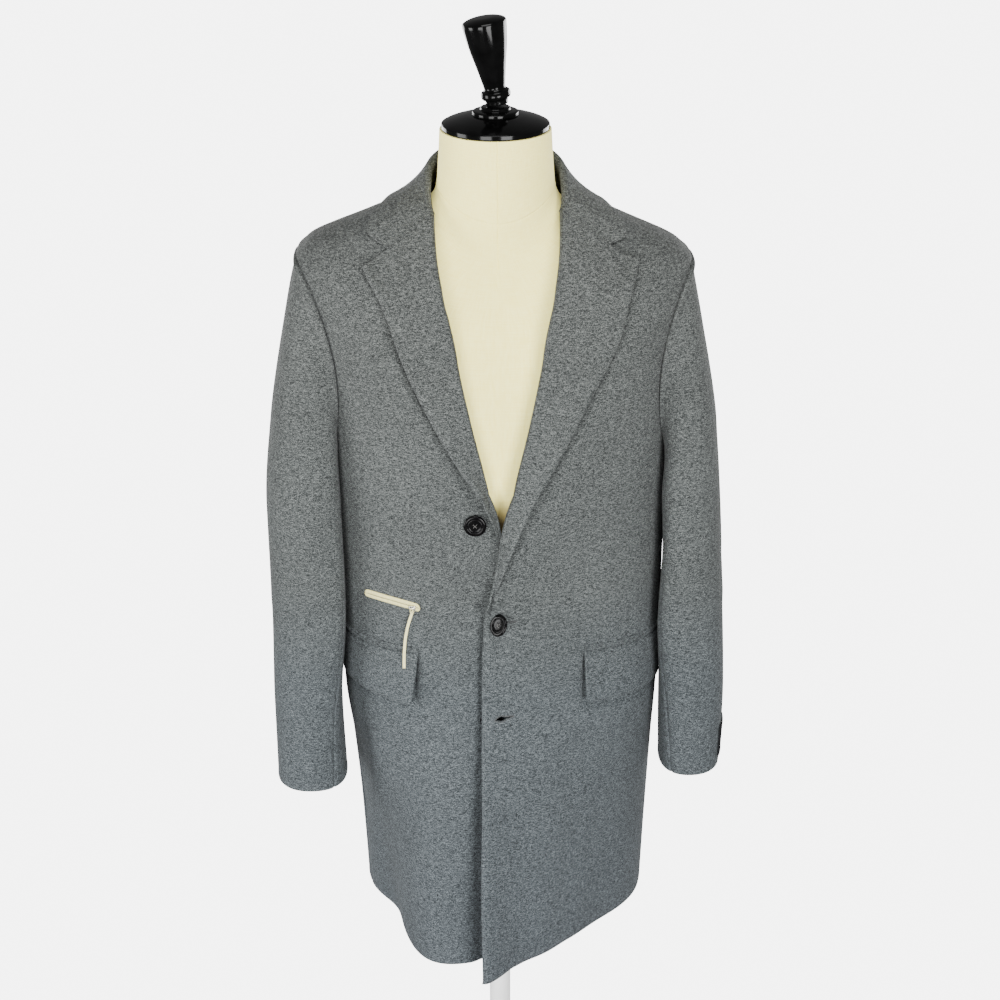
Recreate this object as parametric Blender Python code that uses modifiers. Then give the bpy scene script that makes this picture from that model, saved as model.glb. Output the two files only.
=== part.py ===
"""Single-breasted overcoat on a limbless dress form.

Metres, +Z up, origin on the floor under the form. The front faces -Y and the wearer's left is +X.
The coat is drawn on one smooth body surface: a row is a ring round the body, an angle a place on
the ring, 0 at the centre front and 90 at the wearer's left side.
"""
import math
from collections import namedtuple

import bmesh
import bpy
import numpy as np
from mathutils import Matrix, Vector

# Walls and gaps
CLOTH = 0.0024
FACING = 0.0026
TRIM = 0.0014
SEAM = 0.0004
LAID_GAP = 0.0014

# Front edges, buttons and pockets
RIGHT_EXTENSION = 0.022
BUTTON_WIDTH = 0.026
BUTTON_THICK = 0.0042
MIDDLE_TILT = 34.0
LEFT_BREAK = 1.048
RIGHT_BREAK = 1.126
FLAP_FRONT = 0.098
FLAP_TOP = 0.982
FLAP_DEEP = 0.068
FLAP_CORNER = 0.006
FLAP_SLANT = 0.003
ZIP_WIDE = 0.0088
ZIP_INNER = (-0.0954, 1.0362)
ZIP_OUTER = (-0.1571, 1.0412)
PULL_LONG = 0.076
PULL_WIDE = 0.0042

# Stand
POLE_RADIUS = 0.014
BASE_RADIUS = 0.190
BASE_THICK = 0.022
CAP_RADIUS = 0.0607
FINIAL_LEAN = 9.0

Section = namedtuple("Section", "side_z front_z back_z half_width front back shift square lean",
                     defaults=(0.0,))

# Middle of the coat's cloth, from the hem up to the neck seam
BODY = (
    Section(0.562, 0.556, 0.560, 0.183, 0.161, 0.160, 0.005, 2.2),
    Section(0.690, 0.690, 0.690, 0.186, 0.155, 0.156, 0.005, 2.2),
    Section(0.800, 0.800, 0.800, 0.190, 0.150, 0.153, 0.004, 2.3),
    Section(0.880, 0.880, 0.880, 0.194, 0.146, 0.150, 0.003, 2.3),
    Section(0.990, 0.990, 0.990, 0.197, 0.139, 0.141, 0.002, 2.3),
    Section(1.100, 1.100, 1.100, 0.199, 0.134, 0.140, 0.001, 2.4),
    Section(1.200, 1.200, 1.200, 0.1995, 0.130, 0.142, 0.001, 2.5, 0.006),
    Section(1.320, 1.288, 1.305, 0.206, 0.124, 0.137, 0.000, 2.5, 0.018),
    Section(1.420, 1.353, 1.379, 0.225, 0.114, 0.124, -0.002, 2.5, 0.022),
    Section(1.441, 1.380, 1.406, 0.213, 0.108, 0.116, -0.002, 2.4, 0.024),
    Section(1.473, 1.423, 1.456, 0.150, 0.091, 0.099, 0.000, 2.3, 0.026),
    Section(1.502, 1.456, 1.502, 0.0775, 0.067, 0.084, 0.000, 2.2, 0.020),
)
HEM, SKIRT, HIP, SEAT, WAIST, RIBS, UNDERARM, ARMHOLE, SHOULDER, TIP, YOKE, NECK = range(12)

# Surface of the form, from its closed foot up to the neck
FORM = (
    Section(0.790, 0.790, 0.790, 0.150, 0.100, 0.112, 0.000, 2.1),
    Section(0.880, 0.880, 0.880, 0.176, 0.126, 0.132, 0.000, 2.2),
    Section(0.990, 0.990, 0.990, 0.172, 0.119, 0.122, 0.000, 2.2),
    Section(1.100, 1.100, 1.100, 0.174, 0.117, 0.124, 0.000, 2.3),
    Section(1.200, 1.200, 1.200, 0.178, 0.115, 0.127, 0.000, 2.4),
    Section(1.310, 1.280, 1.295, 0.187, 0.109, 0.122, 0.000, 2.4),
    Section(1.418, 1.356, 1.380, 0.200, 0.095, 0.106, 0.000, 2.4, 0.022),
    Section(1.4711, 1.404, 1.440, 0.150, 0.077, 0.088, 0.000, 2.2, 0.026),
    Section(1.490, 1.444, 1.486, 0.082, 0.063, 0.070, 0.000, 2.0, 0.020),
    Section(1.510, 1.482, 1.508, 0.0675, 0.0640, 0.0645, 0.000, 2.0, 0.008),
    Section(1.540, 1.532, 1.538, 0.0645, 0.0645, 0.0645, 0.000, 2.0),
    Section(1.575, 1.575, 1.575, 0.0625, 0.0625, 0.0625, 0.000, 2.0),
)

# Folds of the skirt: place and spread in degrees, depth at the hem, row they fade at
Fold = namedtuple("Fold", "angle spread depth top")
FOLDS = (
    Fold(-24.0, 15.0, 0.022, 4.0),
    Fold(-66.0, 22.0, -0.032, 3.0),
    Fold(45.0, 30.0, -0.027, 3.2),
    Fold(128.0, 18.0, 0.010, 3.0),
    Fold(165.0, 16.0, -0.010, 3.2),
    Fold(-142.0, 20.0, 0.012, 3.0),
)
# The loose front corner of the left front
CORNER = Fold(-8.5, 7.5, 0.040, 3.4)

# Free edge of the left front below the break, and how far it lies over the right front
Edge = namedtuple("Edge", "z x lift")
LEFT_EDGE = (
    Edge(0.556, -0.025, 0.0090), Edge(0.695, -0.026, 0.0090), Edge(0.807, -0.026, 0.0090),
    Edge(0.900, -0.0245, 0.0090), Edge(0.960, -0.0232, 0.0070), Edge(1.022, -0.0198, 0.0050),
    Edge(1.130, 0.0, 0.0048),
)
# Distance of the lapels' roll and outer edges from the centre front, by height
Roll = namedtuple("Roll", "z x")
ROLL = (
    Roll(1.030, -0.0188), Roll(1.068, -0.0092), Roll(1.126, 0.0040), Roll(1.181, 0.0145),
    Roll(1.275, 0.0340), Roll(1.355, 0.0500), Roll(1.418, 0.0630), Roll(1.460, 0.0690), Roll(1.495, 0.0705),
)
Lapel = namedtuple("Lapel", "z left right")
LAPEL_EDGE = (
    Lapel(1.030, -0.0150, -0.0150), Lapel(1.068, -0.0040, -0.0120), Lapel(1.102, 0.0045, -0.0060),
    Lapel(1.130, 0.0150, 0.0030), Lapel(1.160, 0.0275, 0.0120), Lapel(1.225, 0.0615, 0.0490),
    Lapel(1.280, 0.0908, 0.0795), Lapel(1.325, 0.1150, 0.1010), Lapel(1.383, 0.1413, 0.1240),
    Lapel(1.435, 0.1580, 0.1520),
)
Hole = namedtuple("Hole", "name x z long open slant")
BUTTONHOLES = (
    Hole("middle_buttonhole", 0.0065, 1.0235, 0.023, 0.0012, 4.0),
    Hole("lower_buttonhole", 0.0020, 0.9005, 0.021, 0.0026, 12.0),
)
GORGE_TOP = Roll(1.4885, 0.0700)
NOTCH_SHARE = 0.70

# Collar from the end of its fall to the centre back: its top fold and the row its free edge lies on
Collar = namedtuple("Collar", "angle radius z edge_row")
COLLAR = (
    Collar(72.0, 0.0775, 1.503, 9.98), Collar(88.0, 0.0738, 1.516, 10.14),
    Collar(105.0, 0.0742, 1.527, 10.30), Collar(125.0, 0.0768, 1.535, 10.42),
    Collar(150.0, 0.0805, 1.540, 10.50), Collar(180.0, 0.0830, 1.541, 10.50),
)
COLLAR_BEND = 0.0042

# Sleeves hang from the armhole: heights of the outer and inner line, their reach, and the depth
SleeveRow = namedtuple("SleeveRow", "outer_z inner_z outer_x inner_x middle_y half_depth hang")
RIGHT_SLEEVE = (
    SleeveRow(1.428, 1.196, 0.228, 0.200, -0.004, 0.070, 0.00),
    SleeveRow(1.402, 1.190, 0.238, 0.202, -0.004, 0.074, 0.40),
    SleeveRow(1.338, 1.172, 0.250, 0.204, -0.010, 0.077, 0.80),
    SleeveRow(1.250, 1.140, 0.264, 0.203, -0.020, 0.077, 1.00),
    SleeveRow(1.140, 1.085, 0.274, 0.1995, -0.034, 0.072, 1.00),
    SleeveRow(1.010, 0.995, 0.274, 0.1965, -0.042, 0.065, 1.00),
    SleeveRow(0.880, 0.880, 0.277, 0.196, -0.050, 0.057, 1.00),
    SleeveRow(0.776, 0.776, 0.277, 0.193, -0.060, 0.048, 1.00),
)
LEFT_SLEEVE = (
    SleeveRow(1.428, 1.196, 0.223, 0.203, -0.004, 0.070, 0.00),
    SleeveRow(1.402, 1.190, 0.228, 0.205, -0.004, 0.074, 0.40),
    SleeveRow(1.338, 1.172, 0.240, 0.206, -0.010, 0.077, 0.80),
    SleeveRow(1.250, 1.140, 0.254, 0.205, -0.020, 0.076, 1.00),
    SleeveRow(1.140, 1.085, 0.263, 0.2035, -0.034, 0.071, 1.00),
    SleeveRow(1.010, 0.995, 0.271, 0.203, -0.042, 0.064, 1.00),
    SleeveRow(0.880, 0.880, 0.278, 0.202, -0.050, 0.056, 1.00),
    SleeveRow(0.788, 0.788, 0.276, 0.202, -0.060, 0.048, 1.00),
)
ARMHOLE_ROWS = (6.0, 8.2)
ARMHOLE_ROUND = 2.6
FRONT_SCOOP = (26.0, 38.0)
BACK_SCOOP = (28.0, 30.0)
SHOULDER_SEAM = 104.0
SLEEVE_SEAMS = (126.0, 252.0)


def curve(values, place):
    """Value at a fractional place in a list, on a smooth line that never overshoots its entries."""
    values = np.asarray(values, float)
    place = np.asarray(place, float)
    steps = np.diff(values)
    before, after = steps[:-1], steps[1:]
    turn = before * after <= 0.0
    total = np.where(turn, 1.0, before + after)
    inner = np.where(turn, 0.0, 2.0 * before * after / total)
    slopes = np.concatenate([steps[:1], inner, steps[-1:]])
    index = np.clip(np.floor(place).astype(int), 0, len(values) - 2)
    s = place - index
    rise = steps[index] * s * s * (3.0 - 2.0 * s)
    return values[index] + rise + s * (1.0 - s) * ((1.0 - s) * slopes[index] - s * slopes[index + 1])


def table(rows, key, field, at):
    """A field of a table, read at a value of its rising or falling key column."""
    keys = [getattr(row, key) for row in rows]
    fields = [getattr(row, field) for row in rows]
    order = np.argsort(keys)
    place = np.interp(at, np.asarray(keys)[order], np.arange(len(keys)))
    return curve(np.asarray(fields)[order], place)


def read(sections, row):
    """All the columns of a section table at fractional rows."""
    return {name: curve([getattr(s, name) for s in sections], row) for name in Section._fields}


def power(value, exponent):
    return np.sign(value) * np.abs(value) ** exponent


def ring(sections, angle, row):
    """Points on the rings of a section table."""
    angle, row = np.broadcast_arrays(np.asarray(angle, float), np.asarray(row, float))
    at = read(sections, row)
    sine = np.sin(np.radians(angle))
    cosine = np.cos(np.radians(angle))
    x = at["shift"] + at["half_width"] * power(sine, 2.0 / at["square"])
    depth = np.where(cosine > 0.0, at["front"], at["back"])
    y = -depth * power(cosine, 2.0 / at["square"])
    end_z = np.where(cosine > 0.0, at["front_z"], at["back_z"])
    z = at["side_z"] + (end_z - at["side_z"]) * cosine ** 2 - at["lean"] * x
    return np.stack([x, y, z], axis=-1)


def fold_height(folds, angle, row):
    """How far the folds push the cloth out."""
    total = np.zeros(np.broadcast(angle, row).shape)
    for fold in folds:
        turn = (np.asarray(angle) - fold.angle + 180.0) % 360.0 - 180.0
        fade = np.clip(1.0 - np.asarray(row) / fold.top, 0.0, 1.0) ** 1.3
        total = total + fold.depth * np.exp(-(turn / fold.spread) ** 2) * fade
    return total


def body(angle, row, lift=0.0, corner=False):
    """Points of the coat's surface, lifted off it along its normal."""
    angle, row = np.broadcast_arrays(np.asarray(angle, float), np.asarray(row, float))

    def shape(a, r):
        plain = ring(BODY, a, r)
        outward = np.stack([np.sin(np.radians(a)), -np.cos(np.radians(a)), np.zeros(a.shape)], axis=-1)
        push = fold_height(FOLDS, a, r)
        if corner:
            push = push + fold_height((CORNER,), a, r)
        return plain + outward * push[..., None]

    across = shape(angle + 0.5, row) - shape(angle - 0.5, row)
    along = shape(angle, np.minimum(row + 0.02, NECK)) - shape(angle, np.maximum(row - 0.02, HEM))
    normal = np.cross(across, along)
    normal /= np.linalg.norm(normal, axis=-1, keepdims=True)
    return shape(angle, row) + normal * np.asarray(lift)[..., None]


def angle_at(x, row):
    """Angle on the front of a ring at a distance from the centre front."""
    at = read(BODY, row)
    share = np.clip((np.asarray(x) - at["shift"]) / at["half_width"], -0.9999, 0.9999)
    return np.degrees(np.arcsin(power(share, at["square"] / 2.0)))


def place_on_front(x, z):
    """Angle and row of the front's point at a distance from the centre front and a height."""
    x, z = np.broadcast_arrays(np.asarray(x, float), np.asarray(z, float))
    low, high = np.full(x.shape, float(HEM)), np.full(x.shape, float(NECK))
    for _ in range(36):
        middle = (low + high) / 2.0
        at = read(BODY, middle)
        outside = (np.abs(x - at["shift"]) > at["half_width"]) & (middle > SHOULDER)
        height = ring(BODY, angle_at(x, middle), middle)[..., 2]
        above = outside | (height > z)
        high = np.where(above, middle, high)
        low = np.where(above, low, middle)
    return angle_at(x, low), low


def front(x, z, lift=0.0, corner=False):
    """Point of the coat's front at a distance from the centre front and a height."""
    angle, row = place_on_front(x, z)
    return body(angle, row, lift, corner)


def edge_angle(rows, side):
    """Angle of a front's free edge on each row: straight below the break, along the roll above it."""
    stop = LEFT_BREAK if side > 0 else RIGHT_BREAK
    angle = np.zeros(len(rows))
    for _ in range(30):
        z = ring(BODY, angle, rows)[..., 2]
        roll = table(ROLL, "z", "x", z) + FACING + 0.002
        free = table(LEFT_EDGE, "z", "x", z) if side > 0 else -RIGHT_EXTENSION
        angle = angle_at(side * np.where(z < stop, free, roll), rows)
    return angle


def overlap_lift(angle, z):
    """How far the left front stands off the body where it lies over the right front."""
    near = np.clip(1.0 - np.asarray(angle) / 26.0, 0.0, 1.0)
    return table(LEFT_EDGE, "z", "lift", z) * near * near * (3.0 - 2.0 * near)


def side_angle(row):
    """Side seam below the armhole, shoulder seam above it, and the line between them."""
    low, high = ARMHOLE_ROWS
    return 90.0 + (SHOULDER_SEAM - 90.0) * np.clip((row - low) / (high - low), 0.0, 1.0) ** 2


def armhole_row(turn):
    low, high = ARMHOLE_ROWS
    return (low + high) / 2.0 + (high - low) / 2.0 * power(np.cos(np.radians(turn)), 2.0 / ARMHOLE_ROUND)


def armhole_cut(row, scoop):
    """How far the armhole cuts in from the side on a row."""
    low, high = ARMHOLE_ROWS
    share = np.clip((row - low) / (high - low), 0.0, 1.0)
    inside = np.maximum(1.0 - np.abs(2.0 * share - 1.0) ** ARMHOLE_ROUND, 0.0)
    return (scoop[0] + (scoop[1] - scoop[0]) * share) * inside ** (1.0 / ARMHOLE_ROUND)


def armhole(turn, side):
    """Armhole edge: turn 0 at the shoulder tip, 90 in front, 180 at the underarm, 270 behind."""
    turn = np.asarray(turn, float) % 360.0
    row = armhole_row(turn)
    cut = np.where(turn < 180.0, -armhole_cut(row, FRONT_SCOOP), armhole_cut(row, BACK_SCOOP))
    return body(side * (side_angle(row) + cut), row)


def sleeve(rows, turn, side, place):
    """Points of a sleeve's middle surface at fractional places down its table."""
    turn, place = np.broadcast_arrays(np.asarray(turn, float), np.asarray(place, float))
    at = {name: curve([getattr(r, name) for r in rows], place) for name in SleeveRow._fields}
    cosine = power(np.cos(np.radians(turn)), 0.9)
    sine = power(np.sin(np.radians(turn)), 0.9)
    mid_x = (at["outer_x"] + at["inner_x"]) / 2.0
    mid_z = (at["outer_z"] + at["inner_z"]) / 2.0
    x = side * (mid_x + (at["outer_x"] - mid_x) * cosine)
    y = at["middle_y"] - at["half_depth"] * sine
    z = mid_z + (at["outer_z"] - mid_z) * cosine
    hung = np.stack([x, y, z], axis=-1)
    edge = armhole(turn, side)
    inward = np.array([side * 0.224, 0.0, 1.310]) - edge
    inward *= 0.0013 / np.linalg.norm(inward, axis=-1, keepdims=True)
    clear = 0.0006 + 0.0032 * (0.5 - 0.5 * np.cos(np.radians(turn))) ** 3
    sewn = edge + inward + clear[..., None] * np.array([side, 0.0, 0.0])
    share = at["hang"][..., None]
    return sewn * (1.0 - share) + hung * share


def new_material(name, colour, roughness, metallic=0.0):
    material = bpy.data.materials.new(name)
    material.use_nodes = True
    shader = material.node_tree.nodes["Principled BSDF"]
    shader.inputs["Base Color"].default_value = (*colour, 1.0)
    shader.inputs["Roughness"].default_value = roughness
    shader.inputs["Metallic"].default_value = metallic
    return material


def new_collection(name):
    collection = bpy.data.collections.new(name)
    bpy.context.scene.collection.children.link(collection)
    return collection


def add_object(name, mesh, material, collection):
    thing = bpy.data.objects.new(name, mesh)
    mesh.materials.append(material)
    collection.objects.link(thing)
    return thing


def mesh_from_grid(name, points):
    """Open surface through a grid of points."""
    rows, columns = points.shape[:2]
    shape = bmesh.new()
    corners = [[shape.verts.new(points[i, j]) for j in range(columns)] for i in range(rows)]
    for i in range(rows - 1):
        for j in range(columns - 1):
            shape.faces.new((corners[i][j], corners[i][j + 1], corners[i + 1][j + 1], corners[i + 1][j]))
    mesh = bpy.data.meshes.new(name)
    shape.to_mesh(mesh)
    shape.free()
    return mesh


def add_wall(name, points, thick, material, offset=0.0):
    """Cloth wall: an open surface made solid."""
    thing = add_object(name, mesh_from_grid(name, points), material, PARTS)
    solid = thing.modifiers.new("Wall", "SOLIDIFY")
    solid.thickness = thick
    solid.offset = offset
    solid.use_rim = True
    solid.use_quality_normals = True
    return thing


def add_turned(name, profile, material, steps=32, flip=False):
    """Turned solid: a profile run down its outer side, from the top of the axis to its foot."""
    mesh = bpy.data.meshes.new(name)
    mesh.from_pydata([(radius, 0.0, z) for radius, z in profile],
                     [(i, i + 1) for i in range(len(profile) - 1)], [])
    thing = add_object(name, mesh, material, PARTS)
    turn = thing.modifiers.new("Turn", "SCREW")
    turn.steps = steps
    turn.render_steps = steps
    turn.use_merge_vertices = True
    turn.merge_threshold = 0.00005
    turn.use_normal_calculate = True
    turn.use_normal_flip = flip
    return thing


def facing(point, normal, up=Vector((0.0, 0.0, 1.0))):
    """Placement with local Z along a normal and local Y as near up as it can be."""
    z = Vector(normal).normalized()
    x = up.cross(z).normalized()
    y = z.cross(x)
    turn = Matrix((x, y, z)).transposed().to_4x4()
    return Matrix.Translation(Vector(point)) @ turn


def front_frame(x, z, lift, corner=False, turn=0.0):
    """Placement on the coat's front, turned about the upright."""
    point = front(np.array([x]), np.array([z]), lift, corner)[0]
    base = front(np.array([x]), np.array([z]), 0.0, corner)[0]
    outer = front(np.array([x]), np.array([z]), 0.01, corner)[0]
    normal = Matrix.Rotation(math.radians(turn), 3, "Z") @ Vector(outer - base)
    return facing(point, normal)


SEWN_TURNS = np.arange(0.0, 181.0, 18.0)
SEWN_ROWS = armhole_row(SEWN_TURNS[::-1])
BACK_ROWS = np.concatenate([np.arange(0.0, 6.0, 0.5), SEWN_ROWS, np.arange(8.6, 11.01, 0.4)])
FRONT_ROWS = np.concatenate([np.arange(0.0, 4.1, 0.5), [4.48, 4.57, 5.0, 5.20, 5.32, 5.66], SEWN_ROWS,
                             [8.6, 9.0, 9.4, 9.8], np.arange(10.1, 11.01, 0.15)])


def build_front(side, material):
    """One front, from its free edge to the side seam, armhole and shoulder seam."""
    inner = edge_angle(FRONT_ROWS, side)
    gap = np.degrees(SEAM * 2.0 / np.maximum(read(BODY, FRONT_ROWS)["half_width"], 0.05))
    outer = side * (side_angle(FRONT_ROWS) - armhole_cut(FRONT_ROWS, FRONT_SCOOP) - gap)
    spread = np.linspace(0.0, 1.0, 13) ** 1.1
    angle = inner[:, None] + (outer - inner)[:, None] * spread
    near_neck = np.clip(FRONT_ROWS - 10.0, 0.0, 1.0)[:, None]
    corner_cut = np.clip((84.0 - np.abs(angle)) / 20.0, 0.0, 1.0) * near_neck
    rows = FRONT_ROWS[:, None] - 0.24 * corner_cut
    lift = overlap_lift(angle, ring(BODY, angle, rows)[..., 2]) if side > 0 else np.zeros(angle.shape)
    points = body(angle, rows, lift, corner=side > 0)
    name = "left_front" if side > 0 else "right_front"
    panel = add_wall(name, points if side > 0 else points[:, ::-1], CLOTH, material)
    if side > 0:
        for hole in BUTTONHOLES:
            cut_hole(panel, hole)
    return panel


def cut_hole(panel, hole):
    """Open slit of a buttonhole through the left front."""
    lift = float(table(LEFT_EDGE, "z", "lift", hole.z))
    mesh = bpy.data.meshes.new(hole.name)
    shape = bmesh.new()
    bmesh.ops.create_cube(shape, size=1.0)
    shape.to_mesh(mesh)
    shape.free()
    mesh.transform(Matrix.Diagonal((hole.long, hole.open, 0.008, 1.0)))
    cutter = bpy.data.objects.new(hole.name, mesh)
    CUTTERS.objects.link(cutter)
    cutter.hide_render = True
    cutter.display_type = "WIRE"
    slant = Matrix.Rotation(math.radians(hole.slant), 4, "Z")
    cutter.matrix_world = front_frame(hole.x, hole.z, lift, True) @ slant
    slit = panel.modifiers.new(hole.name, "BOOLEAN")
    slit.operation = "DIFFERENCE"
    slit.solver = "EXACT"
    slit.object = cutter


def build_back(material):
    gap = np.degrees(SEAM * 2.0 / np.maximum(read(BODY, BACK_ROWS)["half_width"], 0.05))
    start = side_angle(BACK_ROWS) + armhole_cut(BACK_ROWS, BACK_SCOOP) + gap
    spread = np.linspace(0.0, 1.0, 17)
    angle = start[:, None] + (360.0 - 2.0 * start)[:, None] * spread
    return add_wall("back", body(angle, BACK_ROWS[:, None]), CLOTH, material)


def build_sleeve(rows, side, material):
    """Upper and under sleeve, parted along the two seams."""
    word = "left" if side > 0 else "right"
    place = np.arange(0.0, 7.01, 0.5)
    first, second = SLEEVE_SEAMS
    gap = 1.25
    spans = (("upper", second - 360.0, first, 14), ("under", first, second, 8))
    for piece, start, stop, columns in spans:
        turn = np.linspace(start, stop, columns)
        turn[0] += gap
        turn[-1] -= gap
        points = sleeve(rows, turn[None, :], side, place[:, None])
        add_wall(f"{word}_{piece}_sleeve", points if side < 0 else points[:, ::-1], CLOTH, material)


def turned_strip(inner, outer, side, turned):
    """Section of a facing: a tuck inside (turned 2), a roll round the fold (turned 1), a run outwards."""
    above = CLOTH / 2.0 + LAID_GAP + FACING / 2.0
    across = np.linspace(0.0, 1.0, 7)[1:]
    run_x = inner.x + (outer.x - inner.x) * across
    run_z = inner.z + (outer.z - inner.z) * across
    rolled, tucked = min(turned, 1.0), max(turned - 1.0, 0.0)
    sweep = np.linspace(180.0 + 90.0 * rolled, 90.0, 6)
    centre = inner.x + above + 0.001
    roll_x = centre + above * np.cos(np.radians(sweep))
    roll_lift = above * np.sin(np.radians(sweep))
    tuck_x = roll_x[0] + 0.0006 * rolled + 0.010 * tucked
    tuck_lift = roll_lift[0] - 0.0006 * (1.0 - rolled)
    x = side * np.concatenate([[tuck_x], roll_x, run_x])
    z = np.concatenate([np.full(7, inner.z), run_z])
    lift = np.concatenate([[tuck_lift], roll_lift, np.full(6, above)])
    if side > 0:
        angle, _ = place_on_front(x, z)
        lift = lift + overlap_lift(angle, z)
    return front(x, z, lift, corner=side > 0)


def lapel_lines(side, along):
    """Roll and outer edge of a lapel from its break (0) to the gorge (1)."""
    stop = (LEFT_BREAK if side > 0 else RIGHT_BREAK) + 0.010
    inner_z = stop + (GORGE_TOP.z - stop) * along
    outer_z = stop + (LAPEL_EDGE[-1].z - stop) * along
    inner = Roll(inner_z, float(table(ROLL, "z", "x", inner_z)))
    outer_x = float(table(LAPEL_EDGE, "z", "left" if side > 0 else "right", outer_z))
    return inner, Roll(outer_z, max(outer_x, inner.x + 0.005))


def build_lapel(side, material):
    strips = []
    for along in np.linspace(0.0, 1.0, 20):
        inner, outer = lapel_lines(side, along)
        turned = float(np.clip((inner.z - 1.15) / 0.04, 0.0, 2.0))
        strips.append(turned_strip(inner, outer, side, turned))
    points = np.stack(strips)
    name = "left_lapel" if side > 0 else "right_lapel"
    return add_wall(name, points if side > 0 else points[:, ::-1], FACING, material)


def collar_strip(angle, side):
    """Section of the collar: stand, roll over the top fold and fall down to the free edge."""
    above = CLOTH / 2.0 + 2.4 * LAID_GAP + FACING / 2.0
    radius = table(COLLAR, "angle", "radius", angle)
    fold_z = table(COLLAR, "angle", "z", angle)
    edge_row = table(COLLAR, "angle", "edge_row", angle)
    outward = np.array([side * math.sin(math.radians(angle)), -math.cos(math.radians(angle)), 0.0])
    upward = np.array([0.0, 0.0, 1.0])
    turned = np.array([side * angle])
    seam = body(turned, np.array([float(NECK)]))[0] + upward * (CLOTH / 2.0 + 0.0022)
    centre = outward * (radius + COLLAR_BEND) + upward * (fold_z - COLLAR_BEND)
    strip = [seam]
    for sweep in np.linspace(180.0, 40.0, 6):
        swing = math.radians(sweep)
        strip.append(centre + COLLAR_BEND * (outward * math.cos(swing) + upward * math.sin(swing)))
    start = strip[-1]
    rest = body(turned, np.array([edge_row + 0.62 * (NECK - edge_row)]), above + 0.002)[0]
    edge = body(turned, np.array([edge_row]), above)[0]
    for step in np.linspace(0.0, 1.0, 7)[1:]:
        strip.append(start * (1.0 - step) ** 2 + rest * 2.0 * step * (1.0 - step) + edge * step ** 2)
    return np.stack(strip)


def collar_half(side, angles):
    """Half of the collar from the gorge seam to the centre back."""
    _, point = lapel_lines(side, 1.0)
    rise = 0.0024
    start = Roll(GORGE_TOP.z + rise, GORGE_TOP.x)
    notch_z = GORGE_TOP.z + (point.z - GORGE_TOP.z) * NOTCH_SHARE + rise
    notch = Roll(notch_z, GORGE_TOP.x + (point.x - GORGE_TOP.x) * NOTCH_SHARE)
    end = turned_strip(start, notch, side, 0.0)
    return np.stack([end] + [collar_strip(angle, side) for angle in angles])


def build_collar(material):
    angles = (72.0, 80.0, 90.0, 102.0, 116.0, 132.0, 148.0, 164.0, 180.0)
    right = collar_half(-1.0, angles)
    left = collar_half(1.0, angles)
    return add_wall("collar", np.concatenate([right[:-1], left[::-1]]), FACING, material)


def build_flap(side, material):
    """Pocket flap lying on the front, its front corner rounded."""
    share = np.linspace(0.0, 1.0, 14) ** 1.5
    along = share * 0.13
    rounding = np.clip((FLAP_CORNER - along) / FLAP_CORNER, 0.0, 1.0)
    deep = FLAP_DEEP + 0.009 * share - FLAP_CORNER * (1.0 - np.sqrt(1.0 - rounding ** 2)) * 0.9
    down = np.linspace(0.0, 1.0, 5)
    z = FLAP_TOP - 0.005 * share[None, :] - deep[None, :] * down[:, None]
    _, row = place_on_front(np.zeros(z.shape), z)
    start = angle_at(side * (FLAP_FRONT + FLAP_SLANT * down), row[:, 0])
    angle = start[:, None] + (side * 76.0 - start)[:, None] * share
    lift = CLOTH / 2.0 + SEAM + CLOTH / 2.0 + 0.001 * down[:, None] * (1.0 - share[None, :])
    if side > 0:
        lift = lift + overlap_lift(angle, z)
    points = body(angle, row, lift, corner=side > 0)
    name = "left_flap" if side > 0 else "right_flap"
    return add_wall(name, points[::-1] if side > 0 else points, CLOTH, material)


def build_button(name, x, z, lift, material, corner=False, turn=0.0):
    """Dished button with a raised rim, standing on its seat."""
    half = BUTTON_WIDTH / 2.0
    profile = [(0.0, BUTTON_THICK - 0.0014), (half * 0.50, BUTTON_THICK - 0.0012),
               (half * 0.66, BUTTON_THICK - 0.0002), (half * 0.80, BUTTON_THICK),
               (half * 0.94, BUTTON_THICK - 0.0006), (half, BUTTON_THICK * 0.55),
               (half * 0.94, BUTTON_THICK * 0.18), (half * 0.55, 0.0), (0.0, 0.0)]
    thing = add_turned(name, profile, material, 20)
    place = front_frame(x, z, lift, corner, turn)
    thing.matrix_world = place
    return thing


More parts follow.
